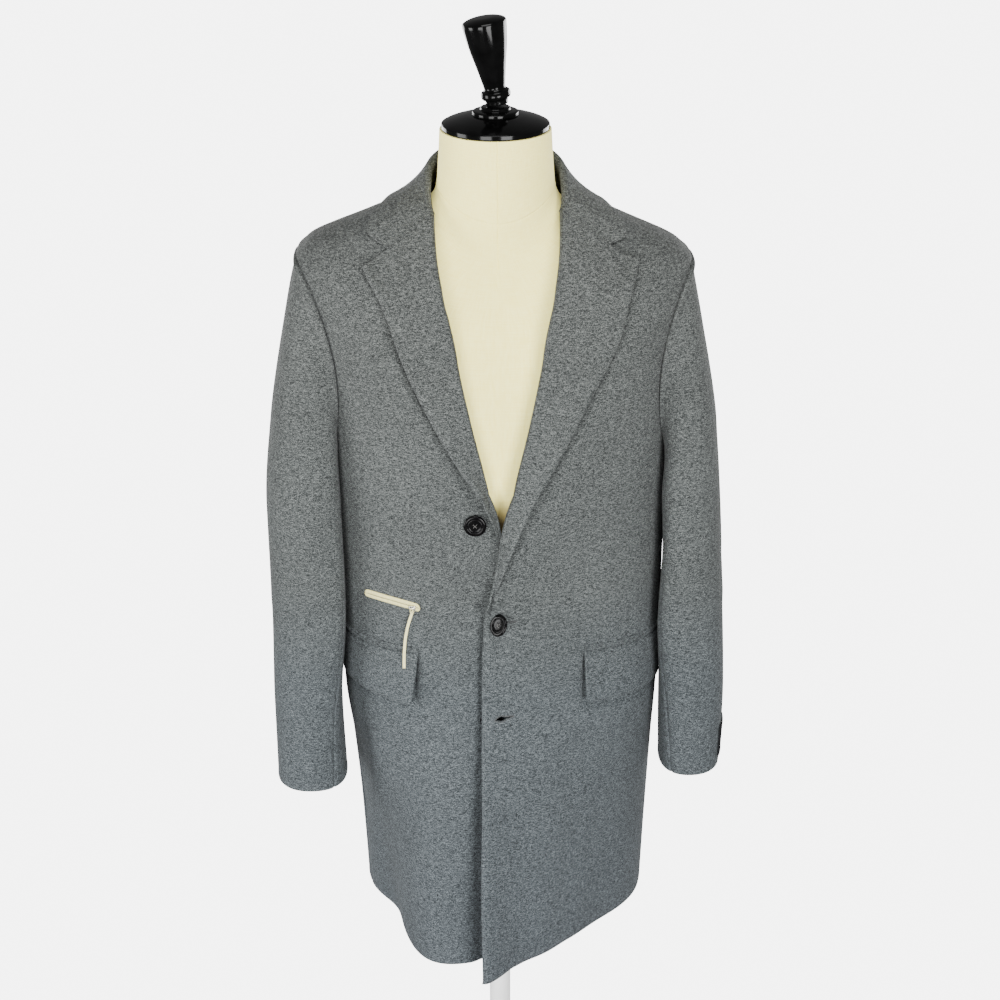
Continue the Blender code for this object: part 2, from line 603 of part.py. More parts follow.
def build_zip(tape, metal, cord):
    """Zipped ticket pocket: pale tape, slider and a soft hanging pull."""
    (inner_x, inner_z), (outer_x, outer_z) = ZIP_INNER, ZIP_OUTER
    along = np.array([0.0, 0.015, 0.05, 0.15, 0.27, 0.38, 0.5, 0.62, 0.73, 0.85, 0.95, 0.985, 1.0])
    across = np.linspace(-0.5, 0.5, 4)
    end = np.clip((0.06 - np.minimum(along, 1.0 - along)) / 0.06, 0.0, 0.93)
    half = ZIP_WIDE * np.sqrt(1.0 - end ** 2)
    x = np.broadcast_to(outer_x + (inner_x - outer_x) * along, (4, len(along)))
    z = outer_z + (inner_z - outer_z) * along + across[:, None] * half[None, :]
    lift = CLOTH / 2.0 + SEAM
    add_wall("zip_tape", front(x, z, np.full(x.shape, lift)), TRIM, tape, offset=1.0)

    slider_x = inner_x - 0.0085
    slider_z = inner_z + 0.0008
    bpy.ops.mesh.primitive_cube_add(size=1.0)
    block = bpy.context.object
    block.name = "zip_slider"
    block.data.name = "zip_slider"
    block.data.transform(Matrix.Diagonal((0.009, 0.0065, 0.0026, 1.0)))
    block.matrix_world = front_frame(slider_x, slider_z, lift + TRIM + SEAM + 0.0013)
    block.data.materials.append(metal)
    for owner in list(block.users_collection):
        owner.objects.unlink(block)
    PARTS.objects.link(block)
    soften = block.modifiers.new("Soft edges", "BEVEL")
    soften.width = 0.0008
    soften.segments = 2

    down = np.linspace(0.0, 1.0, 10)
    hang_x = slider_x - 0.001 - 0.012 * down ** 1.3
    hang_z = slider_z - 0.0039 - PULL_LONG * down
    side = np.array([-0.5, 0.5])
    x = hang_x[:, None] + side[None, :] * PULL_WIDE
    z = np.broadcast_to(hang_z[:, None], x.shape)
    rise = 0.0034 - 0.0006 * down
    hang_rows = front(x, z, np.broadcast_to((CLOTH / 2.0 + rise)[:, None], x.shape))
    flap_ground = np.clip((FLAP_TOP + 0.012 - z) / 0.014, 0.0, 1.0) * 0.0042
    hang_rows = hang_rows + np.array([0.0, -1.0, 0.0]) * flap_ground[..., None]
    add_wall("zip_pull", hang_rows, 0.0012, cord)


def build_patch(material):
    """Plain dark patch on the outer side of the left cuff."""
    turn = np.linspace(-46.0, 6.0, 6)
    place = np.linspace(6.47, 6.97, 5)
    flat = sleeve(LEFT_SLEEVE, turn[None, :], 1.0, place[:, None])
    across = sleeve(LEFT_SLEEVE, turn[None, :] + 1.0, 1.0, place[:, None]) - flat
    along = sleeve(LEFT_SLEEVE, turn[None, :], 1.0, place[:, None] + 0.02) - flat
    normal = np.cross(along, across)
    normal /= np.linalg.norm(normal, axis=-1, keepdims=True)
    normal = np.where(normal[..., :1] < 0.0, -normal, normal)
    points = flat + normal * (CLOTH / 2.0 + SEAM + 0.0005)
    add_wall("left_cuff_patch", points[:, ::-1], 0.0010, material)


def build_form(canvas, lacquer, steel):
    """Limbless form with its neck cap and finial, on a pole and a round base."""
    rows = np.arange(0.0, 11.01, 0.5)
    angle = np.arange(0.0, 360.0, 15.0)
    points = ring(FORM, angle[None, :], rows[:, None])
    shape = bmesh.new()
    loops = [[shape.verts.new(point) for point in loop] for loop in points]
    count = len(angle)
    for lower, upper in zip(loops, loops[1:]):
        for j in range(count):
            k = (j + 1) % count
            shape.faces.new((lower[j], lower[k], upper[k], upper[j]))
    shape.faces.new(loops[0][::-1])
    shape.faces.new(loops[-1])
    mesh = bpy.data.meshes.new("form_torso")
    shape.to_mesh(mesh)
    shape.free()
    add_object("form_torso", mesh, canvas, PARTS)

    seat = FORM[-1].side_z + SEAM
    step = 0.026
    cap = [(0.0, seat + 0.0245), (0.0135, seat + 0.0245), (0.0165, seat + 0.0235),
           (0.0175, seat + 0.0210), (step * 0.92, seat + 0.0200), (step, seat + 0.0185),
           (step, seat + 0.0160), (step * 1.25, seat + 0.0148), (CAP_RADIUS * 0.80, seat + 0.0108),
           (CAP_RADIUS * 0.95, seat + 0.0072), (CAP_RADIUS, seat + 0.0050),
           (CAP_RADIUS, seat + 0.0012), (CAP_RADIUS * 0.985, seat), (0.0, seat)]
    add_turned("neck_cap", cap, lacquer, 28)

    finial = [(0.0, 0.0970), (0.0120, 0.0963), (0.0205, 0.0942), (0.0238, 0.0922), (0.0246, 0.0898),
              (0.0218, 0.0680), (0.0172, 0.0460), (0.0135, 0.0275), (0.0120, 0.0190), (0.0128, 0.0168),
              (0.0158, 0.0148), (0.0167, 0.0110), (0.0158, 0.0075), (0.0128, 0.0055), (0.0118, 0.0000),
              (0.0, 0.0)]
    knob = add_turned("finial", finial, lacquer, 24)
    lean = Matrix.Rotation(math.radians(-FINIAL_LEAN), 4, "Y")
    rise = 0.0118 * math.sin(math.radians(FINIAL_LEAN))
    knob.matrix_world = Matrix.Translation((0.0022, 0.0, seat + 0.0245 + SEAM + rise)) @ lean

    foot = BASE_THICK + SEAM
    top = FORM[0].side_z - SEAM
    pole = [(0.0, top), (POLE_RADIUS, top), (POLE_RADIUS, foot + 0.030),
            (POLE_RADIUS * 1.9, foot + 0.022), (POLE_RADIUS * 2.1, foot), (0.0, foot)]
    add_turned("pole", pole, steel, 24, True)
    base = [(0.0, BASE_THICK), (POLE_RADIUS * 2.6, BASE_THICK), (BASE_RADIUS * 0.90, BASE_THICK * 0.72),
            (BASE_RADIUS * 0.98, BASE_THICK * 0.55), (BASE_RADIUS, BASE_THICK * 0.30),
            (BASE_RADIUS, 0.0), (0.0, 0.0)]
    add_turned("base", base, steel, 36, True)


def clear_scene():
    for thing in list(bpy.data.objects):
        bpy.data.objects.remove(thing, do_unlink=True)


clear_scene()
PARTS = new_collection("overcoat_on_form")
CUTTERS = new_collection("cutters")

wool = new_material("grey_wool", (0.19, 0.20, 0.20), 0.95)
horn = new_material("black_button", (0.012, 0.012, 0.013), 0.30)
pale_tape = new_material("pale_zip_tape", (0.62, 0.60, 0.50), 0.80)
slider_metal = new_material("slider_metal", (0.55, 0.53, 0.48), 0.35, 1.0)
pale_cord = new_material("pale_pull", (0.66, 0.63, 0.53), 0.80)
dark_patch = new_material("dark_patch", (0.010, 0.010, 0.012), 0.75)
cream_canvas = new_material("cream_canvas", (0.80, 0.75, 0.58), 0.90)
black_lacquer = new_material("black_lacquer", (0.006, 0.006, 0.006), 0.12)
pale_steel = new_material("pale_steel", (0.72, 0.72, 0.71), 0.35, 0.6)

build_front(-1.0, wool)
build_front(1.0, wool)
build_back(wool)
build_sleeve(RIGHT_SLEEVE, -1.0, wool)
build_sleeve(LEFT_SLEEVE, 1.0, wool)
build_lapel(-1.0, wool)
build_lapel(1.0, wool)
build_collar(wool)
build_flap(-1.0, wool)
build_flap(1.0, wool)
on_right = CLOTH / 2.0 + SEAM
on_left = on_right + 0.0050
build_button("top_button", -0.0297, 1.148, on_right, horn)
low = 0.94 * BUTTON_WIDTH / 2.0 * math.sin(math.radians(MIDDLE_TILT))
tilted = low - 0.18 * BUTTON_THICK * math.cos(math.radians(MIDDLE_TILT))
build_button("middle_button", -0.0031, 1.027, on_left + tilted, horn, corner=True, turn=-MIDDLE_TILT)
build_button("lower_button", -0.0135, 0.8975, on_right, horn)
build_zip(pale_tape, slider_metal, pale_cord)
build_patch(dark_patch)
build_form(cream_canvas, black_lacquer, pale_steel)
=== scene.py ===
# %% [markdown]
# # A grey wool overcoat on a dress form
#
# The packed solids are the frame of this scene. Every piece below is drawn on the same surfaces
# as those solids, in metres, and rides on the part's one body. The solids hold each wall in its
# place; this file gives the walls rolled edges, seams, stitches and finishes.

# %% Load the frame
import math
from collections import namedtuple

import bmesh
import bpy
import numpy as np
from mathutils import Matrix, Vector


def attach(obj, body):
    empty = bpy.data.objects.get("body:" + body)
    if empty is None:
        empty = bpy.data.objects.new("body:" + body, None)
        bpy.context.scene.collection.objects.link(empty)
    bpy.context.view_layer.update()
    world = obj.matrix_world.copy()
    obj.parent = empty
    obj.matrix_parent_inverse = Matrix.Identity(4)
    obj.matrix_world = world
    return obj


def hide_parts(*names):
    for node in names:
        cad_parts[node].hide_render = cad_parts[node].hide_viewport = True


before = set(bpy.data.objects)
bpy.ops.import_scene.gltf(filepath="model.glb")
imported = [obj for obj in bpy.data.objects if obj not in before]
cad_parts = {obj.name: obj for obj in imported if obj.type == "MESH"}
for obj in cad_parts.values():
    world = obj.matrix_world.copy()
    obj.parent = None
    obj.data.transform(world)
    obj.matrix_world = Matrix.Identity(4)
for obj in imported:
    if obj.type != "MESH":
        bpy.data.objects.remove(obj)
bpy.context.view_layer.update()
print("solids loaded:", len(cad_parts))

# %% [markdown]
# ## Camera
#
# The camera stands a little above the form's neck and looks down, so the round neck cap shows as
# a wide oval and the hem as a bow. Its place, tilt and lens were found by lining up the solids'
# outline with the photograph. Three plain turns build its matrix: heading, tilt and a trace of
# roll.

# %% Place the camera
CAMERA_PLACE = (-0.0631, -2.1395, 2.1112)
CAMERA_HEADING, CAMERA_TILT, CAMERA_ROLL = -1.771, 24.895, -0.270
CAMERA_SENSOR, CAMERA_LENS = 36.0, 70.005


def put_in_scene(name, data):
    """New object in the scene's collection."""
    thing = bpy.data.objects.new(name, data)
    bpy.context.scene.collection.objects.link(thing)
    return thing


def turn_about(axis, degrees):
    return Matrix.Rotation(math.radians(degrees), 4, axis)


camera_data = bpy.data.cameras.new("photo_camera")
camera_data.sensor_width = CAMERA_SENSOR
camera_data.lens = CAMERA_LENS
camera = put_in_scene("photo_camera", camera_data)
camera.matrix_world = (
    Matrix.Translation(CAMERA_PLACE) @ turn_about("Z", CAMERA_HEADING)
    @ turn_about("X", 90.0 - CAMERA_TILT) @ turn_about("Z", CAMERA_ROLL)
)
bpy.context.scene.camera = camera
print("camera height", CAMERA_PLACE[2], "lens", CAMERA_LENS)

# %% [markdown]
# ## The body surface
#
# A tailor drafts a coat on one body block. Here that block is a stack of rings: each row of the
# table is a ring round the body, squarer than an ellipse, with its own heights at the side, front
# and back. A place on the coat is an angle round the body, 0 at the centre front and 90 at the
# wearer's left, and a row that may fall between two rings. A smooth curve through the table's
# columns that never overshoots keeps the cloth free of ripples.

# %% Tables of the body, the form and the folds
# Thickness of coat cloth, facing and zip tape; clearance at a seam and under a turned lapel.
CLOTH, FACING, TRIM, SEAM, LAID_GAP = 0.0024, 0.0026, 0.0014, 0.0004, 0.0014

Section = namedtuple("Section", "side_z front_z back_z half_width front back shift square lean",
                     defaults=(0.0,))
BODY = (
    Section(0.562, 0.556, 0.560, 0.183, 0.161, 0.160, 0.005, 2.2),
    Section(0.690, 0.690, 0.690, 0.186, 0.155, 0.156, 0.005, 2.2),
    Section(0.800, 0.800, 0.800, 0.190, 0.150, 0.153, 0.004, 2.3),
    Section(0.880, 0.880, 0.880, 0.194, 0.146, 0.150, 0.003, 2.3),
    Section(0.990, 0.990, 0.990, 0.197, 0.139, 0.141, 0.002, 2.3),
    Section(1.100, 1.100, 1.100, 0.199, 0.134, 0.140, 0.001, 2.4),
    Section(1.200, 1.200, 1.200, 0.1995, 0.130, 0.142, 0.001, 2.5, 0.006),
    Section(1.320, 1.288, 1.305, 0.206, 0.124, 0.137, 0.000, 2.5, 0.018),
    Section(1.4275, 1.353, 1.381, 0.225, 0.114, 0.124, -0.002, 2.5, 0.022),
    Section(1.4445, 1.380, 1.408, 0.213, 0.108, 0.116, -0.002, 2.4, 0.024),
    Section(1.473, 1.423, 1.456, 0.150, 0.091, 0.099, 0.000, 2.3, 0.026),
    Section(1.502, 1.456, 1.502, 0.0775, 0.067, 0.084, 0.000, 2.2, 0.020),
)
HEM, SHOULDER, NECK = 0, 8, 11
FORM = (
    Section(0.790, 0.790, 0.790, 0.150, 0.100, 0.112, 0.000, 2.1),
    Section(0.880, 0.880, 0.880, 0.176, 0.126, 0.132, 0.000, 2.2),
    Section(0.990, 0.990, 0.990, 0.172, 0.119, 0.122, 0.000, 2.2),
    Section(1.100, 1.100, 1.100, 0.174, 0.117, 0.124, 0.000, 2.3),
    Section(1.200, 1.200, 1.200, 0.178, 0.115, 0.127, 0.000, 2.4),
    Section(1.310, 1.280, 1.295, 0.187, 0.109, 0.122, 0.000, 2.4),
    Section(1.418, 1.356, 1.380, 0.200, 0.095, 0.106, 0.000, 2.4, 0.022),
    Section(1.4711, 1.404, 1.440, 0.150, 0.077, 0.088, 0.000, 2.2, 0.026),
    Section(1.490, 1.444, 1.486, 0.082, 0.063, 0.070, 0.000, 2.0, 0.020),
    Section(1.510, 1.482, 1.508, 0.0675, 0.0640, 0.0645, 0.000, 2.0, 0.008),
    Section(1.540, 1.532, 1.538, 0.0645, 0.0645, 0.0645, 0.000, 2.0),
    Section(1.575, 1.575, 1.575, 0.0625, 0.0625, 0.0625, 0.000, 2.0),
)
Fold = namedtuple("Fold", "angle spread depth top")
FOLDS = (
    Fold(-24.0, 15.0, 0.022, 4.0), Fold(-66.0, 22.0, -0.032, 3.0), Fold(45.0, 30.0, -0.027, 3.2),
    Fold(128.0, 18.0, 0.010, 3.0), Fold(165.0, 16.0, -0.010, 3.2), Fold(-142.0, 20.0, 0.012, 3.0),
)
CORNER = Fold(-8.5, 7.5, 0.040, 3.4)
SHOULDER_SOFT, SOFT_ROW, SOFT_SPREAD = 0.95, 8.3, 0.9
SOFTENING = ((-1.0, 0.12), (-0.5, 0.23), (0.0, 0.30), (0.5, 0.23), (1.0, 0.12))
print("rings in the body table:", len(BODY), "and in the form's:", len(FORM))


# %% Read the tables
def curve(values, place):
    """Value at a fractional place in a list, on a smooth line that never overshoots its entries."""
    values = np.asarray(values, float)
    place = np.asarray(place, float)
    steps = np.diff(values, axis=0)
    before, after = steps[:-1], steps[1:]
    turn = before * after <= 0.0
    total = np.where(turn, 1.0, before + after)
    inner = np.where(turn, 0.0, 2.0 * before * after / total)
    slopes = np.concatenate([steps[:1], inner, steps[-1:]])
    index = np.clip(np.floor(place).astype(int), 0, len(values) - 2)
    s = place - index
    if values.ndim > 1:
        s = s.reshape(s.shape + (1,) * (values.ndim - 1))
    rise = steps[index] * s * s * (3.0 - 2.0 * s)
    bend = (1.0 - s) * slopes[index] - s * slopes[index + 1]
    return values[index] + rise + s * (1.0 - s) * bend


def table(rows, key, field, at):
    """A field of a table, read at a value of its key column."""
    keys = np.array([getattr(row, key) for row in rows])
    fields = np.array([getattr(row, field) for row in rows])
    order = np.argsort(keys)
    return curve(fields[order], np.interp(at, keys[order], np.arange(len(keys))))


def read(sections, row):
    return {name: curve([getattr(s, name) for s in sections], row) for name in Section._fields}


def power(value, exponent):
    return np.sign(value) * np.abs(value) ** exponent


def soft_step(value):
    value = np.clip(value, 0.0, 1.0)
    return value * value * (3.0 - 2.0 * value)


def unit(vectors):
    length = np.linalg.norm(vectors, axis=-1, keepdims=True)
    return vectors / np.maximum(length, 1e-12)


print("a soft step at a quarter is", soft_step(0.25))


# %% Draw the body surface
def ring(sections, angle, row):
    """Points on the rings of a section table."""
    angle, row = np.broadcast_arrays(np.asarray(angle, float), np.asarray(row, float))
    at = read(sections, row)
    sine = np.sin(np.radians(angle))
    cosine = np.cos(np.radians(angle))
    x = at["shift"] + at["half_width"] * power(sine, 2.0 / at["square"])
    depth = np.where(cosine > 0.0, at["front"], at["back"])
    y = -depth * power(cosine, 2.0 / at["square"])
    end_z = np.where(cosine > 0.0, at["front_z"], at["back_z"])
    z = at["side_z"] + (end_z - at["side_z"]) * cosine ** 2 - at["lean"] * x
    return np.stack([x, y, z], axis=-1)


def fold_height(folds, angle, row):
    total = np.zeros(np.broadcast(angle, row).shape)
    for fold in folds:
        turn = (np.asarray(angle) - fold.angle + 180.0) % 360.0 - 180.0
        fade = np.clip(1.0 - np.asarray(row) / fold.top, 0.0, 1.0) ** 1.3
        total = total + fold.depth * np.exp(-(turn / fold.spread) ** 2) * fade
    return total


def outward_at(angle):
    """Level direction away from the upright axis."""
    turn = np.radians(angle)
    return np.stack([np.sin(turn), -np.cos(turn), np.zeros(turn.shape)], axis=-1)


def body(angle, row, lift=0.0, corner=False):
    """Points of the coat's surface, lifted off it along its normal."""
    angle, row = np.broadcast_arrays(np.asarray(angle, float), np.asarray(row, float))
    folds = FOLDS + (CORNER,) if corner else FOLDS

    def shape(a, r):
        reach = SHOULDER_SOFT * np.exp(-((r - SOFT_ROW) / SOFT_SPREAD) ** 2)
        reach = reach * np.clip((np.abs(np.cos(np.radians(a))) - 0.12) / 0.4, 0.0, 1.0)
        padded = sum(share * ring(BODY, a, np.clip(r + step * reach, HEM, NECK))
                     for step, share in SOFTENING)
        return padded + outward_at(a) * fold_height(folds, a, r)[..., None]

    across = shape(angle + 0.5, row) - shape(angle - 0.5, row)
    along = shape(angle, np.minimum(row + 0.02, NECK)) - shape(angle, np.maximum(row - 0.02, HEM))
    return shape(angle, row) + unit(np.cross(across, along)) * np.asarray(lift)[..., None]


print("front of the hem at", body([0.0], [0.0])[0].round(3))


# %% Find a place on the front by its distance from the centre and its height
def angle_at(x, row):
    at = read(BODY, row)
    share = np.clip((np.asarray(x) - at["shift"]) / at["half_width"], -0.9999, 0.9999)
    return np.degrees(np.arcsin(power(share, at["square"] / 2.0)))


def place_on_front(x, z):
    """Angle and row of the front's point at a distance from the centre front and a height."""
    x, z = np.broadcast_arrays(np.asarray(x, float), np.asarray(z, float))
    low, high = np.full(x.shape, float(HEM)), np.full(x.shape, float(NECK))
    for _ in range(36):
        middle = (low + high) / 2.0
        at = read(BODY, middle)
        outside = (np.abs(x - at["shift"]) > at["half_width"]) & (middle > SHOULDER)
        above = outside | (ring(BODY, angle_at(x, middle), middle)[..., 2] > z)
        high = np.where(above, middle, high)
        low = np.where(above, low, middle)
    return angle_at(x, low), low


def front(x, z, lift=0.0, corner=False):
    angle, row = place_on_front(x, z)
    return body(angle, row, lift, corner)


print("chest point", front([-0.1], [1.25])[0].round(3))

# %% [markdown]
# ## Cloth as a shell
#
# A piece of coat cloth is two to three millimetres thick. A Solidify modifier would give it
# square rims, and a coat's edges are turned in and pressed, so they look rolled. The helper below
# builds the shell itself: it moves a grid of points out and in along its normals, thins it to a
# round at each rolled edge, and sinks it a little at each sewn edge, so that two pieces that meet
# there leave the soft groove of a seam. Both sides and the rims are one closed mesh, and its UV
# map is in metres, so a weave keeps its true scale.


# %% Shell helpers
def places(length, step, fine=(True, True)):
    """Places from 0 to 1 down a length: close together at a rolled edge, then at an even step."""
    near = np.array([0.0, 0.0003, 0.0008, 0.0015, 0.0026, 0.0045])
    start = near if fine[0] else np.array([0.0])
    stop = length - near[::-1] if fine[1] else np.array([length])
    count = max(int((stop[0] - start[-1]) / step), 2)
    inner = np.linspace(start[-1], stop[0], count + 1)[1:-1]
    return np.concatenate([start, inner, stop]) / length


def arc(points, axis):
    """Length along a grid's rows or columns, from its first point."""
    steps = np.linalg.norm(np.diff(points, axis=axis), axis=-1)
    lead = np.zeros_like(np.take(steps, [0], axis=axis))
    return np.concatenate([lead, np.cumsum(steps, axis=axis)], axis=axis)


def grid_normals(points):
    return unit(np.cross(np.gradient(points, axis=1), np.gradient(points, axis=0)))


print("columns along 5 cm:", len(places(0.05, 0.005)))


# %% Faces and meshes
def grid_faces(rows, columns, start=0):
    index = np.arange(rows * columns).reshape(rows, columns) + start
    corners = (index[:-1, :-1], index[:-1, 1:], index[1:, 1:], index[1:, :-1])
    return np.stack(corners, axis=-1).reshape(-1, 4)


def shell_faces(rows, columns):
    """Faces of an outer grid, an inner grid and the four rims between them."""
    outer = grid_faces(rows, columns)
    inner = grid_faces(rows, columns, rows * columns)[:, ::-1]
    index = np.arange(rows * columns).reshape(rows, columns)
    rim = np.concatenate([index[0, :-1], index[:-1, -1], index[-1, :0:-1], index[:0:-1, 0]])
    after = np.roll(rim, -1)
    rims = np.stack([after, rim, rim + rows * columns, after + rows * columns], axis=-1)
    return np.concatenate([outer, inner, rims])


def new_mesh(name, points, faces, flat_map=None):
    """Smooth mesh from points and faces, with an optional UV map in metres."""
    mesh = bpy.data.meshes.new(name)
    mesh.from_pydata(points.tolist(), [], faces if isinstance(faces, list) else faces.tolist())
    if flat_map is not None:
        corner = np.empty(len(mesh.loops), dtype=np.int32)
        mesh.loops.foreach_get("vertex_index", corner)
        layer = mesh.uv_layers.new(name="cloth_metres")
        layer.data.foreach_set("uv", flat_map[corner].astype(np.float32).ravel())
    mesh.shade_smooth()
    mesh.update()
    return mesh


print("faces of a shell of 3 x 4 points:", len(shell_faces(3, 4)))

# %% Cloth shells
Cut = namedtuple("Cut", "width length area")


ALL_EDGES = ("start", "end", "foot", "head")
ROLL_REACH, ROLL_THINNEST, BEAD, DIP_WIDE, GROOVE_WIDE = 0.62, 0.16, 0.0003, 0.0038, 0.0017


def cloth_mesh(name, points, thick, rolled=(), sewn=(), facing=1.0, relief=0.0, groove=0.0009,
               dip=0.0, normals=None):
    """Closed shell on a grid. Edges: start and end of the rows, foot and head of the columns.

    A rolled edge thins to a round with a faint bead beside it, and dips towards the cloth under it.
    A sewn edge sinks by the depth of the groove.
    """
    rows, columns = points.shape[:2]
    normal = grid_normals(points) * facing if normals is None else normals
    across, along = arc(points, 1), arc(points, 0)
    gaps = {"start": across, "end": across[:, -1:] - across,
            "foot": along, "head": along[-1:] - along}
    half = np.full((rows, columns), thick / 2.0)
    move = np.zeros((rows, columns)) + relief
    for edge, gap in gaps.items():
        if edge in rolled:
            share = np.clip(gap / (thick * ROLL_REACH), 0.0, 1.0)
            half = half * np.maximum(np.sqrt(1.0 - (1.0 - share) ** 2), ROLL_THINNEST)
            bead = BEAD * np.exp(-((gap - 0.004) / 0.003) ** 2)
            move = move + bead - dip * np.exp(-(gap / DIP_WIDE) ** 2)
        if edge in sewn:
            move = move - groove * np.exp(-(gap / GROOVE_WIDE) ** 2)
    middle = points + normal * move[..., None]
    outer = middle + normal * half[..., None]
    inner = middle - normal * half[..., None]
    faces = shell_faces(rows, columns)
    flat_map = np.stack([across - across[:, columns // 2, None], along], axis=-1).reshape(-1, 2)
    if facing < 0.0:
        faces = faces[:, ::-1]
    stacked = np.concatenate([outer.reshape(-1, 3), inner.reshape(-1, 3)])
    return new_mesh(name, stacked, faces, np.concatenate([flat_map, flat_map]))


print("edges of a cloth piece:", ALL_EDGES)


# %% Helpers that put a piece into the scene
def add_piece(name, mesh, material, slot, *stands_for):
    """A finished piece on the one body, in place of the solids it stands for."""
    thing = put_in_scene(name, mesh)
    mesh.materials.clear()
    mesh.materials.append(material)
    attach(thing, "root")
    if stands_for:
        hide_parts(*stands_for)
    return thing


def add_cloth(node, points, thick, rests_on, held="hung", with_pieces=(), trim=None, **edges):
    """A cloth piece that stands for a solid."""
    mesh = cloth_mesh(node + "_cloth", points, thick, **edges)
    if trim is not None:
        mesh = trim(mesh)
    piece = add_piece(node + "_cloth", mesh, WOOL, "grey_wool", node)


def evaluated_mesh(thing, *helpers):
    """Plain mesh of an object with its modifiers applied; the object and its helpers go."""
    graph = bpy.context.evaluated_depsgraph_get()
    mesh = bpy.data.meshes.new_from_object(thing.evaluated_get(graph))
    for done in (thing, *helpers):
        bpy.data.objects.remove(done, do_unlink=True)
    return mesh


# %% Helpers for turned and swept shapes
def full_turn(steps):
    """Angles once round, in radians."""
    return np.linspace(0.0, 2.0 * math.pi, steps, endpoint=False)


def turned(name, profile, steps=64, smooth=5):
    """Turned mesh round the Z axis from a profile of radius and height, top to foot."""
    line = np.asarray(profile, float)
    line = curve(line, np.linspace(0.0, len(line) - 1.0, (len(line) - 1) * smooth + 1))
    swing = full_turn(steps)
    radius, height = line[1:-1, :1], line[1:-1, 1:]
    grid = np.stack(np.broadcast_arrays(radius * np.cos(swing), radius * np.sin(swing), height),
                    axis=-1)
    ends = [[0.0, 0.0, line[0, 1]], [0.0, 0.0, line[-1, 1]]]
    points = np.concatenate([grid.reshape(-1, 3), ends])
    index = np.arange(len(radius) * steps).reshape(len(radius), steps)
    ahead = np.roll(index, -1, axis=1)
    sides = np.stack([index[1:], ahead[1:], ahead[:-1], index[:-1]], axis=-1).reshape(-1, 4)
    top, foot = len(points) - 2, len(points) - 1
    lid = [(int(a), int(b), top) for a, b in zip(index[0], ahead[0])]
    sole = [(int(b), int(a), foot) for a, b in zip(index[-1], ahead[-1])]
    return new_mesh(name, points, sides.tolist() + lid + sole)


def tube_faces(rows, count):
    """Faces of rings one after another, closed all round and capped at both ends."""
    index = np.arange(rows * count).reshape(rows, count)
    beside = np.roll(index, -1, axis=1)
    sides = np.stack([index[:-1], beside[:-1], beside[1:], index[1:]], axis=-1).reshape(-1, 4)
    return sides.tolist() + [index[0, ::-1].tolist(), index[-1].tolist()]


def tube(name, path, section):
    """Tube of a flat section (side, up) swept along a path, capped at both ends."""
    forward = np.array([0.0, -1.0, 0.0])
    ahead = unit(np.gradient(path, axis=0))
    up = unit(forward - ahead * (ahead @ forward)[:, None])
    side = np.cross(ahead, up)
    loops = (path[:, None] + section[None, :, :1] * side[:, None]
             + section[None, :, 1:] * up[:, None])
    round_place = np.linspace(0.0, 1.0, len(section)) * 0.01
    length = arc(path[None], 1)[0]
    flat_map = np.stack(np.broadcast_arrays(round_place, length[:, None]), axis=-1).reshape(-1, 2)
    mesh = new_mesh(name, loops.reshape(-1, 3), tube_faces(*loops.shape[:2]), flat_map)
    shape = bmesh.new()
    shape.from_mesh(mesh)
    bmesh.ops.recalc_face_normals(shape, faces=shape.faces)
    shape.to_mesh(mesh)
    shape.free()
    return mesh


def oval(width, height, count):
    swing = full_turn(count)
    return np.stack([width / 2.0 * np.cos(swing), height / 2.0 * np.sin(swing)], axis=-1)


print("helpers ready; an oval of 12 points is", oval(0.002, 0.001, 12).shape)

# %% [markdown]
# ## Finishes
#
# Three effects come back in several finishes, so each is a shader node group with named sockets:
# the flecks of a melange, which are long dashes under an even fine pepper; the over-and-under of
# a plain weave with its thick and thin threads; and a soft mottle with a fine grain. The groups
# give out only masks and heights. The Principled shader, its sheen and its coat stay in each
# material, where the export can read them.


# %% Node helpers
def add_node(tree, kind, **settings):
    made = tree.nodes.new(kind)
    for name, value in settings.items():
        setattr(made, name, value)
    return made


def math_node(tree, operation, first, second):
    """Math node fed by sockets or plain numbers; gives its result socket."""
    made = add_node(tree, "ShaderNodeMath", operation=operation)
    for socket, value in zip(made.inputs, (first, second)):
        if isinstance(value, (int, float)):
            socket.default_value = value
        else:
            tree.links.new(value, socket)
    return made.outputs[0]


def new_group(name, inputs, outputs):
    """Shader node group with named sockets; gives the tree and its two end nodes."""
    tree = bpy.data.node_groups.new(name, "ShaderNodeTree")
    for label, kind, value in inputs:
        socket = tree.interface.new_socket(label, in_out="INPUT", socket_type=kind)
        if value is not None:
            socket.default_value = value
    for label in outputs:
        tree.interface.new_socket(label, in_out="OUTPUT", socket_type="NodeSocketFloat")
    return tree, add_node(tree, "NodeGroupInput"), add_node(tree, "NodeGroupOutput")


print("node helpers ready: nodes, sums and groups")


# %% Values and noise
def stretched(tree, vector, x, y, z):
    """Vector times three sockets or numbers."""
    split = add_node(tree, "ShaderNodeSeparateXYZ")
    join = add_node(tree, "ShaderNodeCombineXYZ")
    tree.links.new(vector, split.inputs[0])
    for axis, factor in enumerate((x, y, z)):
        tree.links.new(math_node(tree, "MULTIPLY", split.outputs[axis], factor), join.inputs[axis])
    return join.outputs[0]


def noise(tree, vector, scale, detail=2.0):
    made = add_node(tree, "ShaderNodeTexNoise")
    tree.links.new(vector, made.inputs["Vector"])
    for label, value in (("Scale", scale), ("Detail", detail), ("Roughness", 0.55)):
        made.inputs[label].default_value = value
    return made.outputs["Fac"]


def blend(tree, first, second, share):
    """Two values added, with a share of the first and the rest of the second."""
    return math_node(tree, "ADD", math_node(tree, "MULTIPLY", first, share),
                     math_node(tree, "MULTIPLY", second, 1.0 - share))


